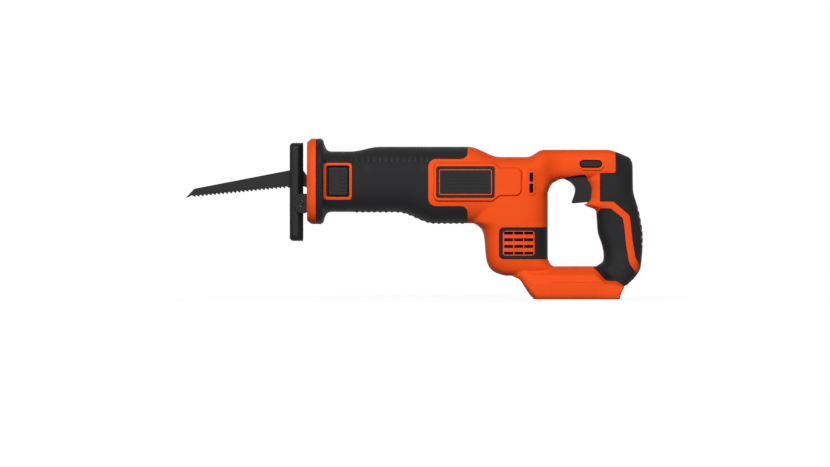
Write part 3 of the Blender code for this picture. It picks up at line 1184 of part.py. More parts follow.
def make_controls():
    """Trigger, switch, lock-off button and blade release button."""
    outline = [
        (TRIGGER_X, GAP_TOP_Z + TRIGGER_ROOT),
        (TRIGGER_X, GAP_TOP_Z),
        (TRIGGER_X + 0.65 * TRIGGER_HOLLOW, GAP_TOP_Z - 0.16 * TRIGGER_HEIGHT),
        (TRIGGER_X + TRIGGER_HOLLOW, GAP_TOP_Z - 0.42 * TRIGGER_HEIGHT),
        (TRIGGER_X + 0.88 * TRIGGER_HOLLOW, GAP_TOP_Z - 0.66 * TRIGGER_HEIGHT),
        (TRIGGER_X + 0.60 * TRIGGER_HOLLOW, GAP_TOP_Z - 0.92 * TRIGGER_HEIGHT),
        (TRIGGER_X + 0.78 * TRIGGER_HOLLOW, GAP_TOP_Z - TRIGGER_HEIGHT),
        (TRIGGER_TAIL_X, GAP_TOP_Z - 0.96 * TRIGGER_HEIGHT),
        (TRIGGER_TAIL_X, GAP_TOP_Z + TRIGGER_ROOT),
    ]
    trigger = prism(outline, "Y", -TRIGGER_HALF_WIDTH, TRIGGER_HALF_WIDTH)
    finish("trigger", trigger, "black_plastic", (TRIGGER_TAIL_X, 0, GAP_TOP_Z))
    high = SWITCH_LOW_Z + SWITCH_HEIGHT
    side = box_outline((SWITCH_X, SWITCH_LOW_Z), (SWITCH_X + SWITCH_DEPTH, high), 0.002)
    finish("switch_body", prism(side, "Y", -SWITCH_HALF_WIDTH, SWITCH_HALF_WIDTH), "black_plastic")
    pill = around((LOCK_X, LOCK_Z), (LOCK_LENGTH, LOCK_HEIGHT), LOCK_HEIGHT / 2)
    out = ARM_HALF_WIDTH + LOCK_TRAVEL / 2
    finish("lock_button", prism(pill, "Y", -out, out - LOCK_TRAVEL), "black_plastic", (LOCK_X, 0, LOCK_Z))
    pad = around((BUTTON_X, BUTTON_Z), (2 * BUTTON_HALF_LENGTH, 2 * BUTTON_HALF_HEIGHT), 0.0025)
    face = -NECK_HALF_WIDTH + BUTTON_RECESS
    lip_y = button_lip_y()
    button = prism(pad, "Y", face, lip_y + BUTTON_LIP)
    joined(button, prism(grown(pad, BUTTON_LIP), "Y", lip_y, lip_y + BUTTON_LIP))
    finish("release_button", button, "black_plastic", (BUTTON_X, 0, BUTTON_Z))


def button_lip_y():
    """Front of the lip that keeps the release button in, just behind the neck's wall at its edges."""
    height = (NECK_TOP_Z - NECK_LOW_Z) / 2 - CAVITY
    offset = abs(BUTTON_Z - (NECK_TOP_Z + NECK_LOW_Z) / 2) + BUTTON_HALF_HEIGHT + BUTTON_LIP
    return -(NECK_HALF_WIDTH - CAVITY) * (1 - (offset / height) ** BARREL_POWER) ** (1 / BARREL_POWER) + GAP


def bridge_y():
    """Front of the bridge that carries the release button's spring."""
    return button_lip_y() + BUTTON_LIP + BUTTON_TRAVEL + BUTTON_SPRING_PACKED


def make_terminals():
    """The block that the battery's contacts slide onto, with its two blades."""
    rear = BAY_FRONT_X
    half = TERMINAL_HALF_WIDTH
    heights = (TERMINAL_LOW_Z, TERMINAL_LOW_Z + TERMINAL_HEIGHT)
    finish("terminal_block", box((rear - TERMINAL_LENGTH, rear), (-half, half), heights), "black_plastic")
    middle = (MOUTH_HEIGHT + BAY_TOP_Z) / 2
    for name, side in (("left_contact", -1), ("right_contact", 1)):
        y = side * CONTACT_SPACING / 2
        across = (y - CONTACT_THICKNESS / 2, y + CONTACT_THICKNESS / 2)
        tall = (middle - CONTACT_HEIGHT / 2, middle + CONTACT_HEIGHT / 2)
        finish(name, box((rear + GAP, rear + CONTACT_LENGTH), across, tall), "copper")


def tube_along(name, points, radius, resolution, material):
    """A round wire along points, with closed ends."""
    curve = bpy.data.curves.new(name, "CURVE")
    curve.dimensions = "3D"
    curve.bevel_depth = radius
    curve.bevel_resolution = resolution
    curve.use_fill_caps = True
    spline = curve.splines.new("POLY")
    spline.points.add(len(points) - 1)
    for place, point in zip(spline.points, points):
        place.co = (*point, 1.0)
    wire = bpy.data.objects.new(name, curve)
    bpy.context.scene.collection.objects.link(wire)
    finish(name, wire, material)


def make_spring(name, axis, centre, start, end, turns):
    """A compression spring between two faces."""
    steps = turns * 10
    first = start + GAP + SPRING_WIRE
    last = end - GAP - SPRING_WIRE
    points = []
    for step in range(steps + 1):
        angle = 2 * math.pi * step / 10
        across = centre[0] + SPRING_RADIUS * math.cos(angle)
        up = centre[1] + SPRING_RADIUS * math.sin(angle)
        points.append(point_on(axis, first + (last - first) * step / steps, across, up))
    tube_along(name, points, SPRING_WIRE / 2, 1, "bright_steel")


def smooth_route(stations, count):
    """Points along a smooth curve through stations."""
    points = [Vector(station) for station in stations]
    points = [2 * points[0] - points[1]] + points + [2 * points[-1] - points[-2]]
    route = []
    for a, b, c, d in zip(points, points[1:], points[2:], points[3:]):
        for step in range(count):
            t = step / count
            bend = (2 * a - 5 * b + 4 * c - d) * t**2 + (3 * b - a - 3 * c + d) * t**3
            route.append(b + ((c - a) * t + bend) / 2)
    return route + [points[-2]]


def make_leads():
    """The leads from the terminals to the switch and from the switch to the motor."""
    battery_route = [
        (BAY_FRONT_X + GAP, LEAD_Y, LEAD_LOW_Z),
        (LEAD_RISE_X - 0.0080, LEAD_Y, LEAD_LOW_Z),
        (LEAD_RISE_X - RUN, LEAD_Y, LEAD_LOW_Z + 0.0015),
        (LEAD_RISE_X - RUN, LEAD_Y, BLOCK_LOW_Z),
        (0.0385, LEAD_Y, 0.0390),
        (0.0400, LEAD_Y, 0.0600),
        (LEAD_TOP_X, LEAD_Y, 0.0800),
        (LEAD_TOP_X, LEAD_Y, SWITCH_LOW_Z - GAP),
    ]
    motor_route = [
        (SWITCH_X + 0.006, -0.0035, SWITCH_LOW_Z + SWITCH_HEIGHT + GAP),
        (SWITCH_X + 0.004, -0.0035, 0.1400),
        (0.0250, -0.0035, 0.1480),
        (0.0000, -0.0035, 0.1483),
        (-0.0250, -0.0035, 0.1475),
        (-0.0355, -0.0035, 0.1350),
        (-0.0378, -0.0035, 0.1100),
        (-0.0378, -0.0035, 0.0700),
        (-0.0376, -0.0035, 0.0450),
        (-0.0382, -0.0035, 0.0395),
        (MOTOR_X + MOTOR_RADIUS + 2 * GAP, -0.0035, BELL_LOW_Z + BELL_HEIGHT / 2),
    ]
    tube_along("battery_lead", smooth_route(battery_route, 3), LEAD_RADIUS, 1, "red_wire")
    tube_along("motor_lead", smooth_route(motor_route, 3), LEAD_RADIUS, 1, "black_wire")


def main():
    for old in list(bpy.data.objects):
        bpy.data.objects.remove(old)
    saw = bpy.data.objects.new("saw", None)
    saw.location = (FRAME_X, 0, 0)
    bpy.context.scene.collection.objects.link(saw)
    make_materials()
    outer = body(0.0, OUTER_POINTS)
    make_housings(outer, body(SKIN + GAP, OUTER_POINTS))
    make_skins(outer)
    bpy.data.objects.remove(outer)
    make_collar()
    make_screws()
    make_gear_case()
    make_guides()
    make_gear_train()
    make_plunger()
    make_clamp()
    make_blade()
    make_shoe()
    make_motor()
    make_controls()
    make_terminals()
    spring_z = GAP_TOP_Z - 0.0110
    make_spring("trigger_spring", "X", (0, spring_z), TRIGGER_TAIL_X, SWITCH_X, 5)
    make_spring("release_spring", "Y", (BUTTON_X, BUTTON_Z), button_lip_y() + BUTTON_LIP, bridge_y(), 3)
    make_leads()


main()
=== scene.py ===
"""Finished look of a cordless reciprocating saw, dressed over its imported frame.

Shapes are drawn in millimetres in the saw's own frame: X runs back along the saw from the middle of the
battery foot, Y runs across it (the left side is -Y) and Z runs up from the foot's sole. A finished piece
is turned into metres and moved along X to where the frame has it.
"""

import math

import bmesh
import bpy
from mathutils import Matrix, Vector


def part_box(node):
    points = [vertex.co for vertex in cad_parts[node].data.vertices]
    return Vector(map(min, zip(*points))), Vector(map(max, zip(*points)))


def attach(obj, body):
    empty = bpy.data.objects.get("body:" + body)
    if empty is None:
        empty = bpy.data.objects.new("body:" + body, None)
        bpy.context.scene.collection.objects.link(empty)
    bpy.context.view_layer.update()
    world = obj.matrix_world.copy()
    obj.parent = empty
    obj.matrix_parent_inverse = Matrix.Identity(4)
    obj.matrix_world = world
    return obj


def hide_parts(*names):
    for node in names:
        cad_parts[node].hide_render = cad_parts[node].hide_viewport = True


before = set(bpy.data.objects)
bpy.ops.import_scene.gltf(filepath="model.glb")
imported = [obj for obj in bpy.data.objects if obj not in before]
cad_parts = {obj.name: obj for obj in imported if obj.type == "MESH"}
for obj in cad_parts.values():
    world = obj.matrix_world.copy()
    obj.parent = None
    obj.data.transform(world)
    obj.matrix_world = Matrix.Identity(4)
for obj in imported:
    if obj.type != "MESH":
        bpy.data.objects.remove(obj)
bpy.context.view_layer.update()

MM = 0.001  # metres in a millimetre
SHIFT = 0.1690  # from the middle of the battery foot to the frame's origin
FAR = 400.0  # beyond the saw in any direction
SEAM = 0.15  # half the joint between the housing's halves
GROOVE = 0.25  # joint round the bezel of the blade release
FIT = 0.1  # by which a soft skin is larger than its recess
SKIN = 1.8  # thickness of the soft skins
UNDER_SKIN = 0.9  # depth of a recess below its skin
WALL = 4.7  # of the housing
NOSE_X = -271.1  # front of the housing
NOSE_REACH = (NOSE_X - 20, NOSE_X + 8.0)  # of the nose opening, from in front to behind the flange
FLANGE_HALF_WIDTH = 38.3
FLANGE_KNOTS = 5  # the first knots of the barrel draw its flange
PAD_FACE = 38.4  # of the raised pad, from the middle plane
SHORTEST_EDGE = 0.002  # shorter ones are melted away
BREAK_ANGLE = math.radians(40)  # sharper edges are broken

# Outer form, as (place, value) knots. The barrel and foot run along X, the motor block and grip along Z.
BARREL_TOP = [
    (NOSE_X, 166.9), (-265.6, 166.9), (-263.6, 164.6), (-262.4, 159.6), (-260.4, 155.4), (-256.6, 153.4),
    (-235.7, 153.4), (-205.0, 158.3), (-113.0, 158.3), (-80.1, 147.7), (-52.0, 147.7), (-35.0, 155.2),
    (30.5, 155.2), (42.5, 152.2), (54.4, 147.2),
]
BARREL_LOW = [
    (NOSE_X, 77.7), (-265.6, 77.7), (-263.6, 79.9), (-262.4, 84.6), (-260.4, 88.6), (-256.6, 90.5),
    (-187.0, 90.5), (-148.0, 78.7), (-80.1, 78.7),
    (-36.5, 95.7), (-30.0, 112.3), (-25.5, 120.5), (-14.5, 124.3), (25.5, 124.3), (54.4, 112.3),
]
BARREL_WIDTH = [
    (NOSE_X, FLANGE_HALF_WIDTH), (-265.6, FLANGE_HALF_WIDTH), (-263.6, 36.9), (-262.4, 33.8), (-260.4, 31.2),
    (-256.6, 30.0), (-235.7, 30.0), (-148.0, 37.0), (-52.0, 36.0), (-36.5, 31.0), (-25.5, 23.2),
    (-14.5, 19.7), (38.0, 18.7), (46.0, 16.4), (51.0, 13.0), (54.4, 8.0),
]
BLOCK_FRONT = [
    (24.3, -76.0), (27.1, -84.2), (32.3, -91.0), (42.3, -94.5), (64.7, -96.7), (72.4, -99.0),
    (76.7, -104.0), (79.7, -109.0), (111.0, -109.0),
]
BLOCK_REAR = [(24.3, -45.5), (27.1, -34.5), (32.3, -23.5), (36.1, -27.5), (42.6, -30.5), (111.0, -30.5)]
BLOCK_WIDTH = [
    (24.3, 21.0), (27.1, 27.0), (32.3, 31.0), (42.3, 33.3), (64.7, 34.6), (88.0, 36.2), (111.0, 36.4),
]
GRIP_FRONT = [
    (14.0, 36.5), (24.0, 24.5), (32.1, 17.5), (36.1, 23.0), (39.3, 27.2), (45.8, 27.6), (56.1, 25.8),
    (70.6, 21.3), (87.5, 20.1), (92.9, 19.2), (96.5, 9.5), (98.5, 7.0), (102.5, 11.7), (108.5, 13.0),
    (114.3, 13.4), (120.0, 11.6), (126.0, 8.0), (146.2, 8.0),
]
GRIP_REAR = [
    (14.0, 51.6), (24.0, 61.5), (34.1, 66.4), (64.0, 68.4), (90.9, 64.5), (98.5, 62.2), (114.3, 58.2),
    (139.8, 57.8), (146.2, 55.4),
]
GRIP_WIDTH = [
    (14.0, 23.2), (24.0, 23.2), (34.1, 20.7), (56.1, 17.2), (87.5, 16.8), (114.3, 18.2), (139.8, 17.2),
    (146.2, 14.7),
]
FOOT_TOP = [
    (-66.0, 29.1), (-60.2, 33.1), (-54.0, 34.1), (18.4, 34.1), (24.4, 27.6), (30.6, 21.4), (39.6, 20.8),
    (45.0, 16.8), (48.2, 13.8),
]
FOOT_LOW = [
    (-66.0, 22.6), (-60.2, 20.5), (-54.0, 11.8), (-47.8, 3.0), (-41.3, -2.0), (42.2, -2.0), (45.4, 7.0),
    (48.2, 12.4),
]
FOOT_WIDTH = [(-66.0, 23.0), (-54.0, 33.0), (-43.3, 36.0), (43.3, 36.0), (48.2, 34.6)]
BARREL = (BARREL_LOW, BARREL_TOP, BARREL_WIDTH)
PLAIN_NECK = [[(NOSE_X, line[FLANGE_KNOTS][1])] + line[FLANGE_KNOTS:] for line in BARREL]
BARREL_POWER = 3.0  # how square its sections are
TAPER_START = 0.35  # share of a section's upper half below which nothing tapers
SECTIONS = [  # axis, lines, power, taper of the upper part
    ("Z", (BLOCK_FRONT, BLOCK_REAR, BLOCK_WIDTH), 3.4, 0.0),
    ("Z", (GRIP_FRONT, GRIP_REAR, GRIP_WIDTH), 2.6, 0.0),
    ("X", (FOOT_LOW, FOOT_TOP, FOOT_WIDTH), 6.0, 0.42),
]

# Side-view outlines as (x, z, corner radius)
FRONT_GRIP = [
    (-291.0, 30.0, 0.0), (-114.0, 30.0, 0.0), (-114.0, 96.5, 7.0), (-154.8, 96.5, 8.0),
    (-154.8, 145.1, 8.0), (-114.0, 145.1, 7.0), (-114.0, 200.0, 0.0), (-291.0, 200.0, 0.0),
]
REAR_GRIP = [
    (39.4, 200.0, 0.0), (39.4, 131.0, 2.0), (23.2, 131.0, 1.5), (23.2, 101.1, 1.5), (37.4, 101.1, 3.0),
    (54.2, 86.5, 3.0), (55.2, 77.9, 0.0), (57.1, 60.3, 0.0), (60.0, 43.6, 0.0), (65.1, 34.1, 0.0),
    (88.4, 26.1, 0.0), (88.4, 200.0, 0.0),
]
PALM_GRIP = [
    (10.0, 35.3, 0.0), (16.5, 35.3, 0.0), (17.0, 31.0, 0.0), (26.8, 18.3, 2.0), (37.6, 17.0, 2.0),
    (43.5, 14.0, 0.0), (49.0, 12.9, 0.0), (56.0, 8.0, 0.0), (70.4, 19.1, 0.0), (61.5, 26.8, 0.0),
    (54.2, 36.3, 0.0), (52.7, 42.1, 0.0), (50.2, 58.2, 0.0), (48.4, 77.0, 0.0), (46.9, 84.3, 2.0),
    (34.5, 94.2, 3.0), (24.3, 94.2, 0.0), (19.5, 89.0, 0.0), (10.0, 88.0, 0.0),
]
RAISED_PAD = [
    (-149.6, 101.5, 6.0), (-88.0, 101.5, 4.0), (-81.0, 107.1, 6.0), (-58.4, 107.1, 6.5),
    (-58.4, 135.4, 6.5), (-81.0, 135.4, 6.0), (-88.0, 141.0, 4.0), (-149.6, 141.0, 6.0),
]


def smooth_line(knots):
    """A smooth line through (place, value) knots that never overshoots them."""
    steps = [(b[1] - a[1]) / (b[0] - a[0]) for a, b in zip(knots, knots[1:])]
    slopes = [steps[0]]
    for before, after in zip(steps, steps[1:]):
        slopes.append(0.0 if before * after <= 0 else 2 * before * after / (before + after))
    slopes.append(steps[-1])

    def value(place):
        place = min(max(place, knots[0][0]), knots[-1][0])
        index = sum(1 for knot in knots[1:-1] if knot[0] < place)
        (x0, y0), (x1, y1) = knots[index], knots[index + 1]
        width = x1 - x0
        t = (place - x0) / width
        rise = 3 * t**2 - 2 * t**3
        pull = slopes[index] * (t**3 - 2 * t**2 + t) + slopes[index + 1] * (t**3 - t**2)
        return y0 + (y1 - y0) * rise + width * pull

    return value


def rounded(corners, steps=7):
    """An outline whose corners, given as (x, z, radius), are turned into arcs."""
    points = []
    for index, (x, z, radius) in enumerate(corners):
        here = Vector((x, z))
        back = Vector(corners[index - 1][:2]) - here
        ahead = Vector(corners[(index + 1) % len(corners)][:2]) - here
        if not radius:
            points.append((x, z))
            continue
        half = back.angle(ahead) / 2
        reach = min(radius / math.tan(half), 0.49 * back.length, 0.49 * ahead.length)
        radius = reach * math.tan(half)
        centre = here + (back.normalized() + ahead.normalized()).normalized() * radius / math.sin(half)
        start = here + back.normalized() * reach - centre
        turn = start.angle_signed(here + ahead.normalized() * reach - centre)
        for step in range(steps + 1):
            points.append(tuple(centre + Matrix.Rotation(-turn * step / steps, 2) @ start))
    return points


def grown(outline, distance):
    """An outline moved outwards by a distance, or inwards by a negative one."""
    area = sum(a[0] * b[1] - b[0] * a[1] for a, b in zip(outline, outline[1:] + outline[:1]))
    side = distance if area > 0 else -distance
    points = []
    for index, point in enumerate(outline):
        here = Vector(point)
        back = (here - Vector(outline[index - 1])).normalized()
        ahead = (Vector(outline[(index + 1) % len(outline)]) - here).normalized()
        normal = Vector((back.y + ahead.y, -back.x - ahead.x)).normalized()
        points.append(tuple(here + normal * side / normal.dot(Vector((ahead.y, -ahead.x)))))
    return points


def panel(x0, x1, z0, z1, radius=0.0):
    """A rectangle between limits, with rounded corners."""
    return rounded([(x0, z0, radius), (x1, z0, radius), (x1, z1, radius), (x0, z1, radius)])


def disc(x, z, radius, count=32):
    """A round outline."""
    turns = [2 * math.pi * step / count for step in range(count)]
    return [(x + radius * math.cos(a), z + radius * math.sin(a)) for a in turns]


def curve(stations, count=6):
    """Points along a smooth curve through stations."""
    points = [Vector(station) for station in stations]
    points = [2 * points[0] - points[1]] + points + [2 * points[-1] - points[-2]]
    route = []
    for a, b, c, d in zip(points, points[1:], points[2:], points[3:]):
        for step in range(count):
            t = step / count
            bend = (2 * a - 5 * b + 4 * c - d) * t**2 + (3 * b - a - 3 * c + d) * t**3
            route.append(tuple(b + ((c - a) * t + bend) / 2))
    return route + [tuple(points[-2])]


def work(bm):
    """A work object from a bmesh, with its faces turned outwards."""
    bmesh.ops.recalc_face_normals(bm, faces=bm.faces[:])
    mesh = bpy.data.meshes.new("work")
    bm.to_mesh(mesh)
    bm.free()
    piece = bpy.data.objects.new("work", mesh)
    bpy.context.scene.collection.objects.link(piece)
    return piece


def spot(axis, along, across, up):
    """A point from its place along an axis and its two places across it."""
    return Vector({"X": (along, across, up), "Y": (across, along, up), "Z": (across, up, along)}[axis])


def prism(outlines, axis, start, end, soft=0.0, draft=0.0):
    """Flat outlines drawn out along an axis, narrower by a draft at the far end, with soft end edges."""
    bm = bmesh.new()
    for outline in outlines:
        face = bm.faces.new([bm.verts.new(spot(axis, start, *point)) for point in outline])
        drawn = bmesh.ops.extrude_face_region(bm, geom=[face])["geom"]
        moved = [item for item in drawn if isinstance(item, bmesh.types.BMVert)]
        bmesh.ops.translate(bm, verts=moved, vec=spot(axis, end - start, 0, 0))
        if draft:
            wide = [spot(axis, end, *point) for point in outline]
            narrow = [spot(axis, end, *point) for point in grown(outline, -draft)]
            for vert in moved:
                vert.co = min(zip(wide, narrow), key=lambda pair: (pair[0] - vert.co).length_squared)[1]
    bmesh.ops.recalc_face_normals(bm, faces=bm.faces[:])
    if soft:
        along = spot(axis, 1, 0, 0)
        rims = [edge for edge in bm.edges if abs((edge.verts[0].co - edge.verts[1].co).dot(along)) < 0.001]
        bmesh.ops.bevel(bm, geom=rims, offset=soft, segments=4, profile=0.5, affect="EDGES", material=-1,
                        clamp_overlap=True)
    return work(bm)


def block(x_range, y_range, z_range):
    """A plain box to cut with."""
    return prism([panel(*x_range, *z_range)], "Y", *y_range)


def loft(bm, axis, lines, power, taper, inset, points=56, pitch=3.0):
    """A closed skin over rounded-box sections along X or Z, moved in by an inset."""
    low, high, half = (smooth_line(knots) for knots in lines)
    knots = sorted({knot[0] for knots in lines for knot in knots})
    places = knots[:1]
    for place in knots[1:]:
        count = math.ceil((place - places[-1]) / pitch)
        start = places[-1]
        places += [start + (place - start) * (step + 1) / count for step in range(count)]
    ends = (places[0] + inset, places[-1] - inset)
    rings = []
    for place in [ends[0]] + [place for place in places if ends[0] < place < ends[1]] + [ends[1]]:
        middle = (low(place) + high(place)) / 2
        rise = (high(place) - low(place)) / 2 - inset
        verts = bmesh.ops.create_circle(bm, cap_ends=False, radius=1.0, segments=points)["verts"]
        edges = list({edge for vert in verts for edge in vert.link_edges})
        for vert in verts:
            up = math.copysign(abs(vert.co.y) ** (2 / power), vert.co.y)
            across = math.copysign(abs(vert.co.x) ** (2 / power), vert.co.x) * (half(place) - inset)
            across *= 1 - taper * max(0.0, up - TAPER_START) / (1 - TAPER_START)
            vert.co = spot("X", place, across, middle + up * rise)
            if axis == "Z":
                vert.co = spot("Z", place, middle + up * rise, across)
        rings.append(edges)
    for before, after in zip(rings, rings[1:]):
        bmesh.ops.bridge_loops(bm, edges=before + after)
    for ring in (rings[0], rings[-1]):
        bmesh.ops.edgeloop_fill(bm, edges=ring)


def settle(piece):
    """Turns the modifiers of a work object into its mesh."""
    bpy.context.view_layer.update()
    mesh = bpy.data.meshes.new_from_object(piece.evaluated_get(bpy.context.evaluated_depsgraph_get()))
    piece.modifiers.clear()
    piece.data = mesh
    return piece


def cut(piece, *tools, operation="DIFFERENCE", keep=False, solver="MANIFOLD"):
    """Cuts tools out of a work object, or joins or intersects it with them."""
    for tool in tools:
        step = piece.modifiers.new("cut", "BOOLEAN")
        step.operation = operation
        step.solver = solver
        step.object = tool
        settle(piece)
        if not keep:
            bpy.data.objects.remove(tool)
    return piece


def copy_of(piece):
    """A second work object with the same mesh."""
    twin = bpy.data.objects.new("work", piece.data.copy())
    bpy.context.scene.collection.objects.link(twin)
    return twin


def mirrored(piece):
    """The same piece for the right side."""
    twin = copy_of(piece)
    bm = bmesh.new()
    bm.from_mesh(twin.data)
    bmesh.ops.scale(bm, vec=(1, -1, 1), verts=bm.verts[:])
    bmesh.ops.reverse_faces(bm, faces=bm.faces[:])
    bm.to_mesh(twin.data)
    bm.free()
    return twin


def soften(piece, voxel, rounds):
    """Melts a work object into one even skin and rounds its edges."""
    melt = piece.modifiers.new("melt", "REMESH")
    melt.mode = "VOXEL"
    melt.voxel_size = voxel
    ease = piece.modifiers.new("ease", "SMOOTH")
    ease.factor = 0.5
    ease.iterations = rounds
    return settle(piece)


def break_edges(piece, width):
    """Rounds the sharp edges of a work object."""
    ease = piece.modifiers.new("ease", "BEVEL")
    ease.limit_method = "ANGLE"
    ease.angle_limit = BREAK_ANGLE
    ease.width = width
    ease.segments = 3
    return settle(piece)


def form(inset, voxel=1.0, rounds=5, barrel=BARREL):
    """The whole outer form of the saw, moved in by an inset."""
    bm = bmesh.new()
    loft(bm, "X", barrel, BARREL_POWER, 0.0, inset)
    for axis, lines, power, taper in SECTIONS:
        loft(bm, axis, lines, power, taper, inset)
    piece = soften(work(bm), voxel, rounds)
    return cut(piece, block((-FAR, FAR), (-FAR, FAR), (-FAR, inset)))


def finish(name, piece, look, body="saw_body", nodes=(), angle=38, flat=False):
    """Turns a work object into a finished piece of the saw."""
    bm = bmesh.new()
    bm.from_mesh(piece.data)
    bmesh.ops.remove_doubles(bm, verts=bm.verts[:], dist=SHORTEST_EDGE)
    bmesh.ops.dissolve_degenerate(bm, edges=bm.edges[:], dist=SHORTEST_EDGE)
    bmesh.ops.recalc_face_normals(bm, faces=bm.faces[:])
    bmesh.ops.scale(bm, vec=(MM, MM, MM), verts=bm.verts[:])
    bmesh.ops.translate(bm, vec=(SHIFT, 0, 0), verts=bm.verts[:])
    bm.to_mesh(piece.data)
    bm.free()
    piece.name = name
    piece.data.name = name
    piece.data.shade_smooth()
    piece.data.set_sharp_from_angle(angle=math.radians(angle))
    piece.data.materials.clear()
    piece.data.materials.append(look)
    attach(piece, body)
    if nodes:
        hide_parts(*nodes)
    if flat:
        even = piece.modifiers.new("even", "WEIGHTED_NORMAL")
        even.keep_sharp = True
    return piece


def finish_pair(name, piece, look, node="", angle=38, flat=False):
    """Finishes a left-hand work object and its mirrored twin, each in place of its side's node."""
    for side, half in (("right", mirrored(piece)), ("left", piece)):
        nodes = [side + "_" + node] if node else ()
        finish(side + "_" + name, half, look, nodes=nodes, angle=angle, flat=flat)


def limits(node):
    """Lowest and highest corner of a frame node, in millimetres in the saw's own frame."""
    low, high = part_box(node)
    move = Vector((SHIFT, 0, 0))
    return (low - move) / MM, (high - move) / MM


def tone(rgb):
    """A shader colour from a screen colour with channels from 0 to 255."""
    return tuple((c / 255 / 12.92) if c <= 10 else ((c / 255 + 0.055) / 1.055) ** 2.4 for c in rgb) + (1.0,)


def surface(
    name, light, dark, rough, patch=60.0, grain=2500.0, bump=0.05, metal=0.0, stretch=(1, 1, 1), sheen=0.5
):
    """A finish with cloudy colour, uneven gloss and a fine grain."""
    look = bpy.data.materials.new(name)
    look.use_nodes = True
    nodes, links = look.node_tree.nodes, look.node_tree.links
    shader = nodes["Principled BSDF"]
    shader.inputs["Metallic"].default_value = metal
    shader.inputs["Specular IOR Level"].default_value = sheen
    place = nodes.new("ShaderNodeTexCoord")
    turn = nodes.new("ShaderNodeMapping")
    turn.inputs["Scale"].default_value = stretch
    links.new(place.outputs["Object"], turn.inputs["Vector"])
    cloud = nodes.new("ShaderNodeTexNoise")
    cloud.inputs["Scale"].default_value = patch
    cloud.inputs["Detail"].default_value = 5.0
    fine = nodes.new("ShaderNodeTexNoise")
    fine.inputs["Scale"].default_value = grain
    fine.inputs["Detail"].default_value = 2.0
    for noise in (cloud, fine):
        links.new(turn.outputs["Vector"], noise.inputs["Vector"])
    blend = nodes.new("ShaderNodeMix")
    blend.data_type = "RGBA"
    blend.inputs[6].default_value = tone(dark)
    blend.inputs[7].default_value = tone(light)
    links.new(cloud.outputs["Fac"], blend.inputs[0])
    links.new(blend.outputs[2], shader.inputs["Base Color"])
    gloss = nodes.new("ShaderNodeMapRange")
    gloss.inputs["From Min"].default_value = 0.3
    gloss.inputs["From Max"].default_value = 0.7
    gloss.inputs["To Min"].default_value = rough - 0.05
    gloss.inputs["To Max"].default_value = rough + 0.05
    links.new(cloud.outputs["Fac"], gloss.inputs["Value"])
    links.new(gloss.outputs["Result"], shader.inputs["Roughness"])
    relief = nodes.new("ShaderNodeBump")
    relief.inputs["Strength"].default_value = bump
    relief.inputs["Distance"].default_value = 0.0004
    links.new(fine.outputs["Fac"], relief.inputs["Height"])
    links.new(relief.outputs["Normal"], shader.inputs["Normal"])
    return look


ORANGE = surface("orange_shell", (246, 86, 29), (239, 80, 25), 0.55, 35.0, 1800.0, 0.10, sheen=0.05)
RUBBER = surface("soft_rubber", (33, 33, 35), (25, 25, 27), 0.62, 90.0, 2600.0, 0.35, sheen=0.12)
# Lighter than the soft rubber: a painted highlight on the raised ticks; its lower roughness is a real
# smoother finish
SMOOTH_PAINTED_HIGHLIGHT_RUBBER = surface("smooth_painted_highlight_rubber", (45, 45, 47), (37, 37, 39), 0.55, 90.0, 2600.0, 0.2, sheen=0.12)
PLASTIC = surface("black_plastic", (26, 26, 27), (19, 19, 20), 0.42, 80.0, 2000.0, 0.15, sheen=0.12)
# Near black: painted shade, for the sheets behind the vent openings
MESH = surface("painted_shade_sheet", (13, 13, 14), (7, 7, 8), 0.80, 400.0, 1500.0, 0.5, sheen=0.05)
COATED = surface("black_coated_steel", (30, 30, 30), (21, 21, 22), 0.40, 140.0, bump=0.12, sheen=0.11)
BRIGHT = surface("ground_steel", (196, 198, 200), (168, 170, 173), 0.28, metal=1.0, stretch=(0.15, 1, 1))
ZINC = surface("zinc_plate", (188, 192, 196), (150, 154, 160), 0.34, patch=220.0, metal=1.0)
ALLOY = surface("cast_alloy", (176, 178, 180), (150, 152, 155), 0.48, 160.0, 1400.0, 0.3, metal=1.0)
BRONZE = surface("sintered_bronze", (186, 140, 84), (150, 108, 62), 0.46, patch=300.0, bump=0.2, metal=1.0)
COPPER = surface("copper", (214, 132, 92), (190, 108, 70), 0.34, patch=300.0, metal=1.0, stretch=(1, 1, 0.2))
FERRITE = surface("ferrite", (70, 68, 70), (52, 51, 54), 0.62, patch=260.0, bump=0.2)
CARBON = surface("carbon", (48, 46, 46), (34, 33, 34), 0.58, patch=300.0, bump=0.2)
NYLON = surface("white_nylon", (226, 224, 216), (212, 208, 198), 0.42, patch=120.0)
RED = surface("red_insulation", (186, 32, 28), (160, 24, 22), 0.40, patch=200.0)
BLACK = surface("black_insulation", (42, 42, 44), (30, 30, 32), 0.42, patch=200.0)

KEPT_NODES = {
    COATED: ("clamp_sleeve", "shoe_pin"),
    BRIGHT: ("plunger", "clamp_pin", "crank_pin", "crank_roller", "gear_axle", "rotor_shaft", "pinion",
             "drive_gear", "trigger_spring", "release_spring", "gear_bearing"),
    ZINC: ("motor_can", "armature", "plunger_tube"),
    ALLOY: ("gear_case", "gear_cover"),
    BRONZE: ("front_bush", "rear_bush"),
    COPPER: ("commutator", "left_contact", "right_contact"),
    FERRITE: ("front_magnet", "rear_magnet"),
    CARBON: ("left_brush", "right_brush"),
    NYLON: ("motor_fan",),
    PLASTIC: ("motor_end_bell", "switch_body", "terminal_block"),
    RED: ("battery_lead",),
    BLACK: ("motor_lead",),
}
for finish_look, names in KEPT_NODES.items():
    for node_name in names:
        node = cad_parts[node_name]
        node.data.materials.clear()
        node.data.materials.append(finish_look)

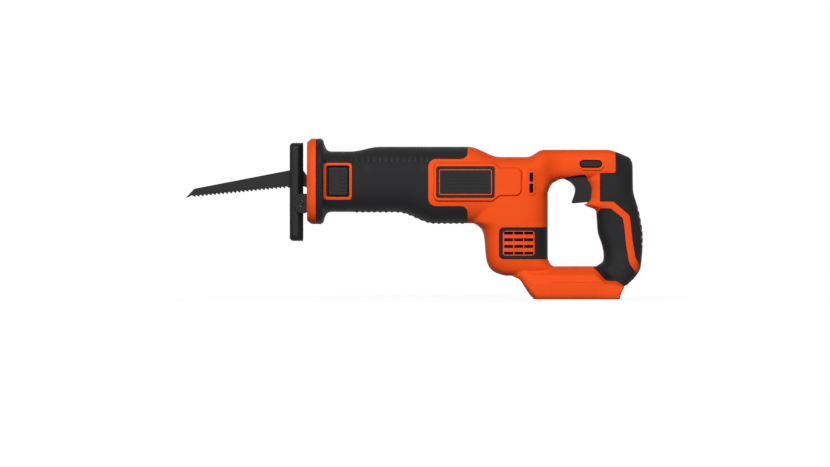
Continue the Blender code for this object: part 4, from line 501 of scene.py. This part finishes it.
# Outlines of openings and details seen from the side
BUTTON = panel(-258.6, -237.6, 107.2, 136.8, 2.2)
BUTTON_WELL = panel(-260.3, -236.4, 106.0, 138.6, 2.2)
BEZEL = panel(-263.1, -234.0, 103.0, 141.2, 3.0)
BADGE = panel(-146.4, -86.3, 105.2, 137.2, 2.5)
BADGE_LINE = panel(-143.6, -89.1, 108.0, 134.4, 1.8)
BADGE_FIELD = panel(-142.8, -89.9, 108.8, 133.6, 1.0)
LOCK = panel(2.75, 24.65, 136.85, 143.55, 3.35)
LOCK_ROOM = grown(LOCK, 0.7)
LOCK_RIM = panel(1.2, 27.6, 133.6, 145.0, 5.6)
VENT_FRAME = panel(-81.7, -10.0, 41.4, 74.6, 5.0)
VENT_WINDOW = panel(-77.7, -44.8, 45.3, 70.9, 3.0)
VENT_PILL = panel(-52.5, -44.1, 107.3, 133.8, 4.05)
PILL_JOINT = panel(-52.5, -44.1, 107.3, 133.8, 4.15)
VENT_SLOTS = [
    panel(x - 4.75, x + 4.75, z - 1.5, z + 1.5, 0.5)
    for x in (-71.65, -61.25, -50.85) for z in (47.75, 54.75, 61.65, 68.55)
]
SIDE_SLOTS = [panel(-50.3, -46.4, 110.2, 119.6, 0.8), panel(-50.3, -46.4, 121.6, 131.2, 0.8)]
TRIGGER_ARCH = [
    (-17.0, 118.0), (-16.2, 123.9), (-12.0, 126.0), (-4.0, 127.9), (4.0, 129.0), (8.0, 129.2), (9.4, 127.4),
    (10.6, 122.0), (9.0, 118.0),
]
NOTCHES = [panel(50.0, 80.0, z - 1.2, z + 1.2, 0.5) for z in (57.5, 64.5, 71.5, 78.5, 85.5, 92.5)]
SCREWS = [(-222.0, 146.0), (-222.0, 99.0), (-128.0, 148.5), (-150.0, 90.0), (-16.0, 141.0), (47.5, 40.0)]
SCREW_SEAT_Y = 6.0
SCREW_BOSS = 4.6  # radii of its boss and of the holes for its head and shank
SCREW_HEAD_HOLE = 3.5
SCREW_SHANK_HOLE = 2.1
RIB_START, RIB_PITCH = -229.0, 6.1  # of the ticks and bars on the front grip

# Reaches of cutters across the saw: one half, the left from the middle plane, all, and past all
LEFT = ("Y", -FAR, -SEAM)
OPEN_LEFT = ("Y", -FAR, 0.0)
THROUGH = ("Y", -FAR, FAR)
PAST = ("Y", -2 * FAR, 2 * FAR)

# Boxes that are cut out of the housing
TRIGGER_ROOM = ((-20.4, 27.5), (-9.3, 9.3), (98.8, 131.6))
SLOT_FRONT = -22.3
BATTERY_SLOT = ((SLOT_FRONT, FAR), (-28.0, 28.0), (5.0, 12.0))
BATTERY_MOUTH = ((SLOT_FRONT, FAR), (-24.0, 24.0), (-9.0, 5.3))
LEAD_CHANNEL = ((SLOT_FRONT, 45.5), (-6.8, -3.2), (14.2, 17.2))
LEAD_RISER = ((41.0, 45.5), (-6.8, -3.2), (14.2, 30.0))


def nose_opening(start, end):
    """Cutter for the opening that the blade clamp and the shoe's bracket reach through."""
    return prism([panel(-22.0, 22.0, 85.1, 144.3, 6.0)], "X", start, end)


def skin(outline, top, under):
    """A left-hand plate of one side-view outline, between two forms."""
    plate = cut(copy_of(top), prism([outline], *LEFT), operation="INTERSECT")
    return cut(plate, under, keep=True)


def beside_palm(room=0.0):
    """Cutter that ends the palm grip in a straight border round the root of the handle."""
    rest = block((0.0, FAR), (-FAR, FAR), (-FAR, 35.2 - room))
    return cut(rest, prism([grown(panel(16.0, 90.0, -24.0, 24.0, 6.0), room)], "Z", -2 * FAR, 2 * FAR))


def room_for(node, room=0.4):
    """Cutter for the space that a frame node takes up."""
    low, high = limits(node)
    return block(*[(low[i] - room, high[i] + room) for i in range(3)])


def screwed(piece):
    """A right-hand grip with the holes that the housing screws go in through."""
    return cut(piece, prism([disc(x, z, SCREW_HEAD_HOLE) for x, z in SCREWS], "Y", 0.0, FAR))


# The forms that the shells and skins are cut from
outer = form(0.0)
under_grip = form(SKIN, 1.2, 4, PLAIN_NECK)
recess_floor = form(SKIN + UNDER_SKIN, 1.2, 4, PLAIN_NECK)
proud = form(-1.5)
slightly_proud = form(-0.6)
sunk = form(0.9)

# Hollow of the housing, with the solid floor round the battery's slot and a boss for each screw
hollow = form(WALL, 2.0, 5, PLAIN_NECK)
cut(hollow, block((-36.9, FAR), (-FAR, FAR), (-FAR, 14.6)))
cut(hollow, prism([disc(x, z, SCREW_BOSS) for x, z in SCREWS], *THROUGH))

# Recesses that the grips and vent frames lie in, left out below the bezel
recess = prism([rounded(PALM_GRIP)], *THROUGH)
cut(recess, beside_palm())
cut(recess, prism([rounded(FRONT_GRIP), rounded(REAR_GRIP)], *THROUGH), operation="UNION")
surround = prism([VENT_FRAME], *THROUGH)
cut(surround, prism([VENT_WINDOW], *THROUGH))
cut(recess, surround, operation="UNION")
cut(recess, prism([BEZEL], *OPEN_LEFT), recess_floor)

# Ribs of the housing that show in the notches of the rear grip
ribs = prism([grown(notch, -0.15) for notch in NOTCHES], "Y", -8.8, 8.8)
cut(ribs, form(0.4), operation="INTERSECT")
cut(recess, ribs)

# Joint lines: below the raised pad, round the upper vent, and the panel on the foot's side
pad_line = rounded(RAISED_PAD)
lines = prism([grown(pad_line, 1.4)], *THROUGH)
cut(lines, prism([grown(pad_line, -0.5)], *PAST))
cut(lines, block((-FAR, -62.0), (-2 * FAR, 2 * FAR), (109.0, FAR)))
pill_line = prism([grown(PILL_JOINT, 0.6)], *THROUGH)
cut(pill_line, prism([PILL_JOINT], *PAST))
foot_lines = prism([panel(-28.7, -28.0, 3.4, 17.4), panel(-27.9, 23.0, 16.7, 17.4)], *THROUGH)
cut(lines, pill_line, foot_lines, operation="UNION")
cut(lines, sunk, keep=True)

# The shell is thinner behind the vents
thin = prism([grown(VENT_WINDOW, -0.6), panel(-51.7, -45.0, 108.4, 133.0, 2.0)], *THROUGH)
cut(thin, form(2.2, 1.2, 3), operation="INTERSECT")

# The two halves of the housing
for side in ("left", "right"):
    half = copy_of(outer)
    across = (-FAR, -SEAM) if side == "left" else (SEAM, FAR)
    cut(half, block((-FAR, FAR), across, (-FAR, FAR)), operation="INTERSECT")
    cut(half, recess, hollow, lines, thin, keep=True)
    cut(half, nose_opening(*NOSE_REACH))
    cut(half, block(*TRIGGER_ROOM), prism([TRIGGER_ARCH], *THROUGH))
    cut(half, prism([LOCK_ROOM], *THROUGH))
    cut(half, prism([BUTTON_WELL], *OPEN_LEFT))
    cut(half, prism(VENT_SLOTS + SIDE_SLOTS, *THROUGH))
    cut(half, block(*BATTERY_SLOT), block(*BATTERY_MOUTH))
    cut(half, room_for("terminal_block"), room_for("gear_case"), room_for("switch_body"))
    cut(half, block(*LEAD_CHANNEL), block(*LEAD_RISER))
    cut(half, prism([disc(x, z, SCREW_HEAD_HOLE) for x, z in SCREWS], "Y", SCREW_SEAT_Y, FAR))
    cut(half, prism([disc(x, z, SCREW_SHANK_HOLE) for x, z in SCREWS], "Y", -12.0, SCREW_SEAT_Y + 1.0))
    finish(side + "_shell", half, ORANGE, nodes=[side + "_housing"])

# Soft grips
front = soften(skin(grown(rounded(FRONT_GRIP), FIT), outer, under_grip), 0.7, 3)
ticks = [panel(x - 0.9, x + 0.9, 141.6, 147.6, 0.6) for x in [RIB_START + RIB_PITCH * i for i in range(13)]]
tick_bars = cut(form(-0.8), prism(ticks, *LEFT), operation="INTERSECT")
cut(tick_bars, sunk, keep=True)
belly = [panel(x - 1.3, x + 1.3, 60.0, 110.0) for x in [RIB_START + RIB_PITCH * i for i in range(19)]]
belly_bars = cut(copy_of(slightly_proud), prism(belly, "Y", -13.0, -0.6), operation="INTERSECT")
cut(belly_bars, sunk, keep=True)
# The ticks take the lighter rubber, a painted highlight on their raised tops
finish_pair("grip_ticks", tick_bars, SMOOTH_PAINTED_HIGHLIGHT_RUBBER)
cut(front, belly_bars, operation="UNION")
cut(front, nose_opening(*NOSE_REACH))
finish("right_front_rubber", screwed(mirrored(front)), RUBBER, nodes=["right_front_grip"])
cut(front, prism([grown(BEZEL, GROOVE)], *OPEN_LEFT))
finish("left_front_rubber", front, RUBBER, nodes=["left_front_grip"])

rear = soften(skin(grown(rounded(REAR_GRIP), FIT), outer, under_grip), 0.6, 3)
cut(rear, prism(NOTCHES, "Y", -9.0, 9.0))
finish_pair("rear_rubber", rear, RUBBER, "rear_grip")

palm = skin(grown(rounded(PALM_GRIP), FIT), outer, under_grip)
cut(palm, beside_palm(FIT))
soften(palm, 0.6, 3)
finish("right_palm_rubber", screwed(mirrored(palm)), RUBBER, nodes=["right_palm_grip"])
finish("left_palm_rubber", palm, RUBBER, nodes=["left_palm_grip"])

surround = skin(grown(VENT_FRAME, FIT), outer, under_grip)
cut(surround, prism([VENT_WINDOW], *LEFT))
soften(surround, 0.5, 3)
finish_pair("vent_surround", surround, RUBBER, "vent_frame")

# Raised pad with its badge plate, on both sides
pad = prism([grown(rounded(RAISED_PAD), 2.0)], "Y", -33.6, -PAD_FACE, 0.5, draft=3.0)
root = prism([grown(rounded(RAISED_PAD), 1.9)], "Y", -24.0, -33.9)
cut(pad, root, operation="UNION", solver="EXACT")
cut(pad, outer, keep=True)
cut(pad, prism([grown(BADGE, 0.35)], *LEFT))
cut(pad, prism([panel(-80.7, -79.8, 110.0, 132.5, 0.3)], "Y", -FAR, 0.7 - PAD_FACE), solver="EXACT")
finish_pair("raised_pad", pad, ORANGE, angle=30, flat=True)
badge = prism([BADGE], "Y", -35.5, 0.2 - PAD_FACE, 0.5)
cut(badge, outer, keep=True)
line = prism([BADGE_LINE], "Y", 0.8 - PAD_FACE, 0.05 - PAD_FACE)
cut(line, prism([BADGE_FIELD], *LEFT), solver="EXACT")
cut(badge, line, keep=True, solver="EXACT")
ridges = [panel(-139.5, -93.2, z - 0.8, z + 0.8, 0.75) for z in (111.7, 115.5, 119.3, 123.1, 126.9, 130.7)]
cut(badge, prism(ridges, "Y", 0.8 - PAD_FACE, -0.15 - PAD_FACE, 0.2), operation="UNION", solver="EXACT")
finish_pair("badge_plate", badge, PLASTIC, "badge", 30, True)
finish_pair("badge_line", line, ORANGE, angle=30)

# Near-black sheets behind the vents: painted shade that keeps the vent openings dark
screen = form(2.8, 1.2, 3)
cut(screen, prism([panel(-76.8, -45.7, 46.2, 70.0, 2.2), panel(-51.4, -45.3, 108.7, 132.7, 1.8)], *LEFT),
    operation="INTERSECT")
cut(screen, form(WALL - 0.5, 1.2, 3))
finish_pair("vent_shade_sheet", screen, MESH)

# Rims that stand proud of the shell
pill = soften(skin(VENT_PILL, slightly_proud, outer), 0.25, 2)
cut(pill, prism([grown(slot, 0.05) for slot in SIDE_SLOTS], *LEFT))
finish_pair("vent_pill", pill, ORANGE)
rim = skin(LOCK_RIM, proud, outer)
cut(rim, prism([LOCK_ROOM], *LEFT))
soften(rim, 0.35, 3)
finish_pair("lock_rim", rim, ORANGE)
bezel = skin(BEZEL, slightly_proud, outer)
cut(bezel, prism([BUTTON_WELL], *LEFT))
soften(bezel, 0.22, 2)
finish("release_bezel", bezel, ORANGE)

# Blade release: a sunk pad with ribs on its rear half
low, high = limits("release_button")
button = prism([BUTTON], "Y", high.y - 1.0, -29.0, 1.2)
ridges = [panel(-247.4, -239.8, z - 0.55, z + 0.55, 0.5) for z in (112.0, 116.0, 120.0, 124.0, 128.0)]
lip = prism([grown(BUTTON_WELL, 1.6)], "Y", high.y - 1.4, high.y)
cut(button, prism(ridges, "Y", -28.0, -29.4, 0.2), lip, operation="UNION", solver="EXACT")
spring_room = prism([disc(-248.3, 122.2, 4.0)], "Y", high.y + 1.0, high.y - 3.3)
cut(button, spring_room, solver="EXACT")
finish("release_pad", button, PLASTIC, "release_button", ["release_button"], 30, True)

# Trigger and lock-off slider
trigger_front = curve([
    (-18.8, 126.2), (-14.2, 125.0), (-10.4, 123.5), (-6.3, 121.0), (-2.9, 117.0), (-2.0, 113.0),
    (-2.7, 109.0), (-4.9, 102.6), (-5.5, 100.9), (-4.3, 99.5), (-1.5, 99.6), (8.2, 100.5),
])
trigger = prism([trigger_front + [(20.0, 100.6), (20.0, 131.0), (-18.8, 131.0)]], "Y", -9.0, 9.0, 1.8)
spring_room = prism([disc(0.0, 113.3, 4.0)], "X", 14.0, 21.0)
cut(trigger, spring_room, solver="EXACT")
finish("trigger_lever", trigger, PLASTIC, "trigger", ["trigger"], 30, True)
low, high = limits("lock_button")
slider = prism([LOCK], "Y", low.y, high.y, 1.1)
lip = prism([grown(LOCK, 2.2)], "Y", -6.0, 6.0)
cut(slider, lip, operation="UNION", solver="EXACT")
finish("lock_slider", slider, PLASTIC, "lock_button", ["lock_button"], 30, True)

# Nose collar
rise = [(-280.4, -3.6), (-278.6, -2.0), (-276.4, -0.5), (-274.6, 0.0), (-271.15, 0.0)]
bm = bmesh.new()
loft(bm, "X", ([(x, 77.8 - d) for x, d in rise], [(x, 166.8 + d) for x, d in rise],
               [(x, FLANGE_HALF_WIDTH + d) for x, d in rise]), BARREL_POWER, 0.0, 0.0, 96, 0.6)
collar = work(bm)
cut(collar, nose_opening(-300.0, -260.0))
finish("collar_ring", collar, ORANGE, nodes=["nose_collar"], angle=30)

# Shoe: a pressed tray, drawn in at its rear edge, with ears for the pivot
PIVOT = (-286.7, 99.2)
SHOE_FRONT, SHOE_HALF_WIDTH = -298.5, 18.0
SHOE_LOW, SHOE_HIGH = 60.3, 162.2
SHOE_RIM = 3.0  # above and below the tray's hollow
SHOE_SLOT = panel(-4.0, 4.0, 108.0, 146.0, 3.0)
FACE_ON = ("X", -310.0, -280.0)
corners = [
    (-284.9, -13.6, 0.0), (-289.4, -SHOE_HALF_WIDTH, 3.2), (SHOE_FRONT, -SHOE_HALF_WIDTH, 3.4),
    (SHOE_FRONT, 0.0, 0.0),
]
plan = rounded(corners)[:-1]
plan += [(x, -y) for x, y in reversed(plan)]
inside = grown(plan, -2.6)
inside[0], inside[-1] = (-283.0, inside[0][1]), (-283.0, inside[-1][1])
shoe = prism([plan], "Z", SHOE_LOW, SHOE_HIGH)
face_view = prism([panel(-SHOE_HALF_WIDTH, SHOE_HALF_WIDTH, SHOE_LOW, SHOE_HIGH, 7.0)], *FACE_ON)
side_view = prism([panel(SHOE_FRONT, -275.0, SHOE_LOW, SHOE_HIGH, 4.0)], *THROUGH)
cut(shoe, face_view, side_view, operation="INTERSECT", solver="EXACT")
cut(shoe, prism([inside], "Z", SHOE_LOW + SHOE_RIM, SHOE_HIGH - SHOE_RIM), solver="EXACT")
for ear in ((-SHOE_HALF_WIDTH, -15.2), (15.2, SHOE_HALF_WIDTH)):
    cut(shoe, prism([disc(*PIVOT, 6.8)], "Y", *ear), operation="UNION", solver="EXACT")
cut(shoe, prism([SHOE_SLOT], *FACE_ON), solver="EXACT")
cut(shoe, prism([disc(*PIVOT, 3.0)], *THROUGH), solver="EXACT")
break_edges(shoe, 0.5)
finish("shoe_channel", shoe, COATED, "shoe_assembly", ["shoe"], 30, True)

# Bracket that carries the shoe: two lugs on a plate behind the nose
lug = rounded([
    (-292.9, 89.0, 6.0), (-282.0, 89.0, 5.0), (-278.6, 94.6, 4.0), (-263.3, 96.7, 0.0), (-263.3, 108.7, 0.0),
    (-279.0, 109.4, 4.0), (-292.9, 109.4, 6.0),
])
bracket = prism([lug], "Y", -21.1, 21.1, 0.9)
cut(bracket, block((-FAR, -266.1), (-18.3, 18.3), (0.0, FAR)), solver="EXACT")
cut(bracket, block((-266.1, -263.3), (-25.2, 25.2), (96.7, 108.7)), operation="UNION", solver="EXACT")
cut(bracket, prism([disc(*PIVOT, 3.1)], *THROUGH), solver="EXACT")
finish("shoe_bracket_plate", bracket, COATED, nodes=["shoe_bracket"], angle=30, flat=True)

# Blade with set teeth
TEETH = 23
TOOTH_SET = 0.25  # sideways, to either side in turn
first, heel = Vector((-397.2, 105.8)), Vector((-299.6, 115.5))
along = (heel - first) / TEETH
up = Vector((-along.y, along.x)).normalized()
edge = [(-406.3, 105.9), (-405.2, 105.3), (-402.9, 106.6), (-401.0, 107.7), (-399.4, 107.5)]
for tooth in range(TEETH):
    for share, height in ((0.0, 0.0), (0.12, 1.0), (0.24, 1.9), (0.40, 1.9)):
        edge.append(tuple(first + along * (tooth + share) + up * height))
profile = edge + [
    tuple(heel), (-286.0, 117.6), (-281.0, 115.95), (-254.0, 115.95), (-254.0, 128.65), (-281.0, 128.65),
    (-286.0, 135.8), (-300.2, 133.6), (-397.9, 114.7),
]
blade = prism([profile], "Y", -0.6, 0.6)
for vert in blade.data.vertices:
    reach = (Vector((vert.co.x, vert.co.z)) - first).dot(along) / along.length_squared
    depth = (Vector((vert.co.x, vert.co.z)) - first).dot(up)
    if depth < 0.2 and -0.5 < reach < TEETH - 0.5 and abs(reach - round(reach)) < 0.02:
        vert.co.y += TOOTH_SET if round(reach) % 2 else -TOOTH_SET
low, high = limits("clamp_pin")
cut(blade, prism([disc((low.x + high.x) / 2, (low.z + high.z) / 2, 2.3)], *THROUGH), solver="EXACT")
finish("saw_blade", blade, COATED, "plunger_and_blade", ["blade"], angle=20)

# Housing screws with a hexagon socket
for number, (x, z) in enumerate(SCREWS, 1):
    screw = prism([disc(x, z, 3.2)], "Y", SCREW_SEAT_Y + 0.3, SCREW_SEAT_Y + 2.8, 0.5)
    cut(screw, prism([disc(x, z, 1.6, 6)], "Y", SCREW_SEAT_Y + 1.4, FAR), solver="EXACT")
    cut(screw, prism([disc(x, z, 1.8)], "Y", -10.0, SCREW_SEAT_Y + 0.8), operation="UNION", solver="EXACT")
    finish("screw_%d" % number, screw, ZINC, nodes=["housing_screw_%d" % number], angle=30)

for piece in (outer, under_grip, proud, slightly_proud, sunk, hollow, recess, lines, thin):
    bpy.data.objects.remove(piece)

# Plate and pin ends of the frame that stay in view get their edges broken
for node_name in ("shoe_pin", "clamp_sleeve", "terminal_block", "left_contact", "right_contact"):
    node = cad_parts[node_name]
    weld = node.modifiers.new("weld", "WELD")
    weld.merge_threshold = 0.00001
    edge_break = node.modifiers.new("edge_break", "BEVEL")
    edge_break.limit_method = "ANGLE"
    edge_break.angle_limit = BREAK_ANGLE
    edge_break.width = 0.0004
    edge_break.segments = 2

# Camera, floor and light
camera = bpy.data.objects.new("camera", bpy.data.cameras.new("camera"))
bpy.context.scene.collection.objects.link(camera)
camera.data.sensor_width = 36.0
camera.data.lens = 250.0
camera.location = (0.0005, -5.994, 0.0681)
camera.rotation_euler = (math.radians(90), 0, 0)
camera.data.clip_end = 50.0
bpy.context.scene.camera = camera


def seen(nodes, links):
    """A value that is 1 for rays that show a surface and 0 for rays that light another one."""
    path = nodes.new("ShaderNodeLightPath")
    either = nodes.new("ShaderNodeMath")
    either.operation = "MAXIMUM"
    links.new(path.outputs["Is Camera Ray"], either.inputs[0])
    links.new(path.outputs["Is Glossy Ray"], either.inputs[1])
    value = nodes.new("ShaderNodeMath")
    value.operation = "MAXIMUM"
    links.new(either.outputs[0], value.inputs[0])
    links.new(path.outputs["Is Transmission Ray"], value.inputs[1])
    return value.outputs[0]


bm = bmesh.new()
bmesh.ops.create_grid(bm, x_segments=8, y_segments=8, size=7.0)
floor = work(bm)
floor.name = "floor"
floor.location = (0, 0, -0.0002)
pale = bpy.data.materials.new("pale_floor")
pale.use_nodes = True
nodes, links = pale.node_tree.nodes, pale.node_tree.links
shader = nodes["Principled BSDF"]
shader.inputs["Base Color"].default_value = (0.14, 0.14, 0.14, 1)
shader.inputs["Roughness"].default_value = 1.0
shader.inputs["Specular IOR Level"].default_value = 0.0
shader.inputs["Emission Color"].default_value = (1, 1, 1, 1)
place = nodes.new("ShaderNodeTexCoord")
length = nodes.new("ShaderNodeVectorMath")
length.operation = "LENGTH"
links.new(place.outputs["Object"], length.inputs[0])
fade = nodes.new("ShaderNodeMapRange")
fade.inputs["From Min"].default_value = 0.25
fade.inputs["From Max"].default_value = 1.0
fade.inputs["To Min"].default_value = 0.90
fade.inputs["To Max"].default_value = 1.0
links.new(length.outputs["Value"], fade.inputs["Value"])
lift = nodes.new("ShaderNodeMath")
lift.operation = "MULTIPLY"
links.new(fade.outputs["Result"], lift.inputs[1])
links.new(seen(nodes, links), lift.inputs[0])
links.new(lift.outputs[0], shader.inputs["Emission Strength"])
floor.data.materials.append(pale)

world = bpy.data.worlds.new("studio")
bpy.context.scene.world = world
world.use_nodes = True
nodes, links = world.node_tree.nodes, world.node_tree.links
sky = nodes["Background"]
sky.inputs["Color"].default_value = (1, 1, 1, 1)
level = nodes.new("ShaderNodeMapRange")
level.inputs["To Min"].default_value = 0.09
level.inputs["To Max"].default_value = 1.0
links.new(seen(nodes, links), level.inputs["Value"])
links.new(level.outputs["Result"], sky.inputs["Strength"])

LAMP_AIM = Vector((0, 0, 0.08))
for name, spot_at, size, power in (
    ("key", (-0.4, -3.0, 1.25), 1.0, 96.0),
    ("fill", (1.3, -3.0, 0.5), 1.2, 7.0),
    ("back", (0.1, 3.0, 0.8), 1.5, 80.0),
):
    lamp = bpy.data.objects.new(name, bpy.data.lights.new(name, "AREA"))
    bpy.context.scene.collection.objects.link(lamp)
    lamp.data.size = size
    lamp.data.energy = power
    lamp.visible_glossy = name != "back"
    lamp.location = spot_at
    lamp.rotation_euler = (LAMP_AIM - lamp.location).to_track_quat("-Z", "Y").to_euler()

bpy.context.scene.view_settings.view_transform = "Standard"
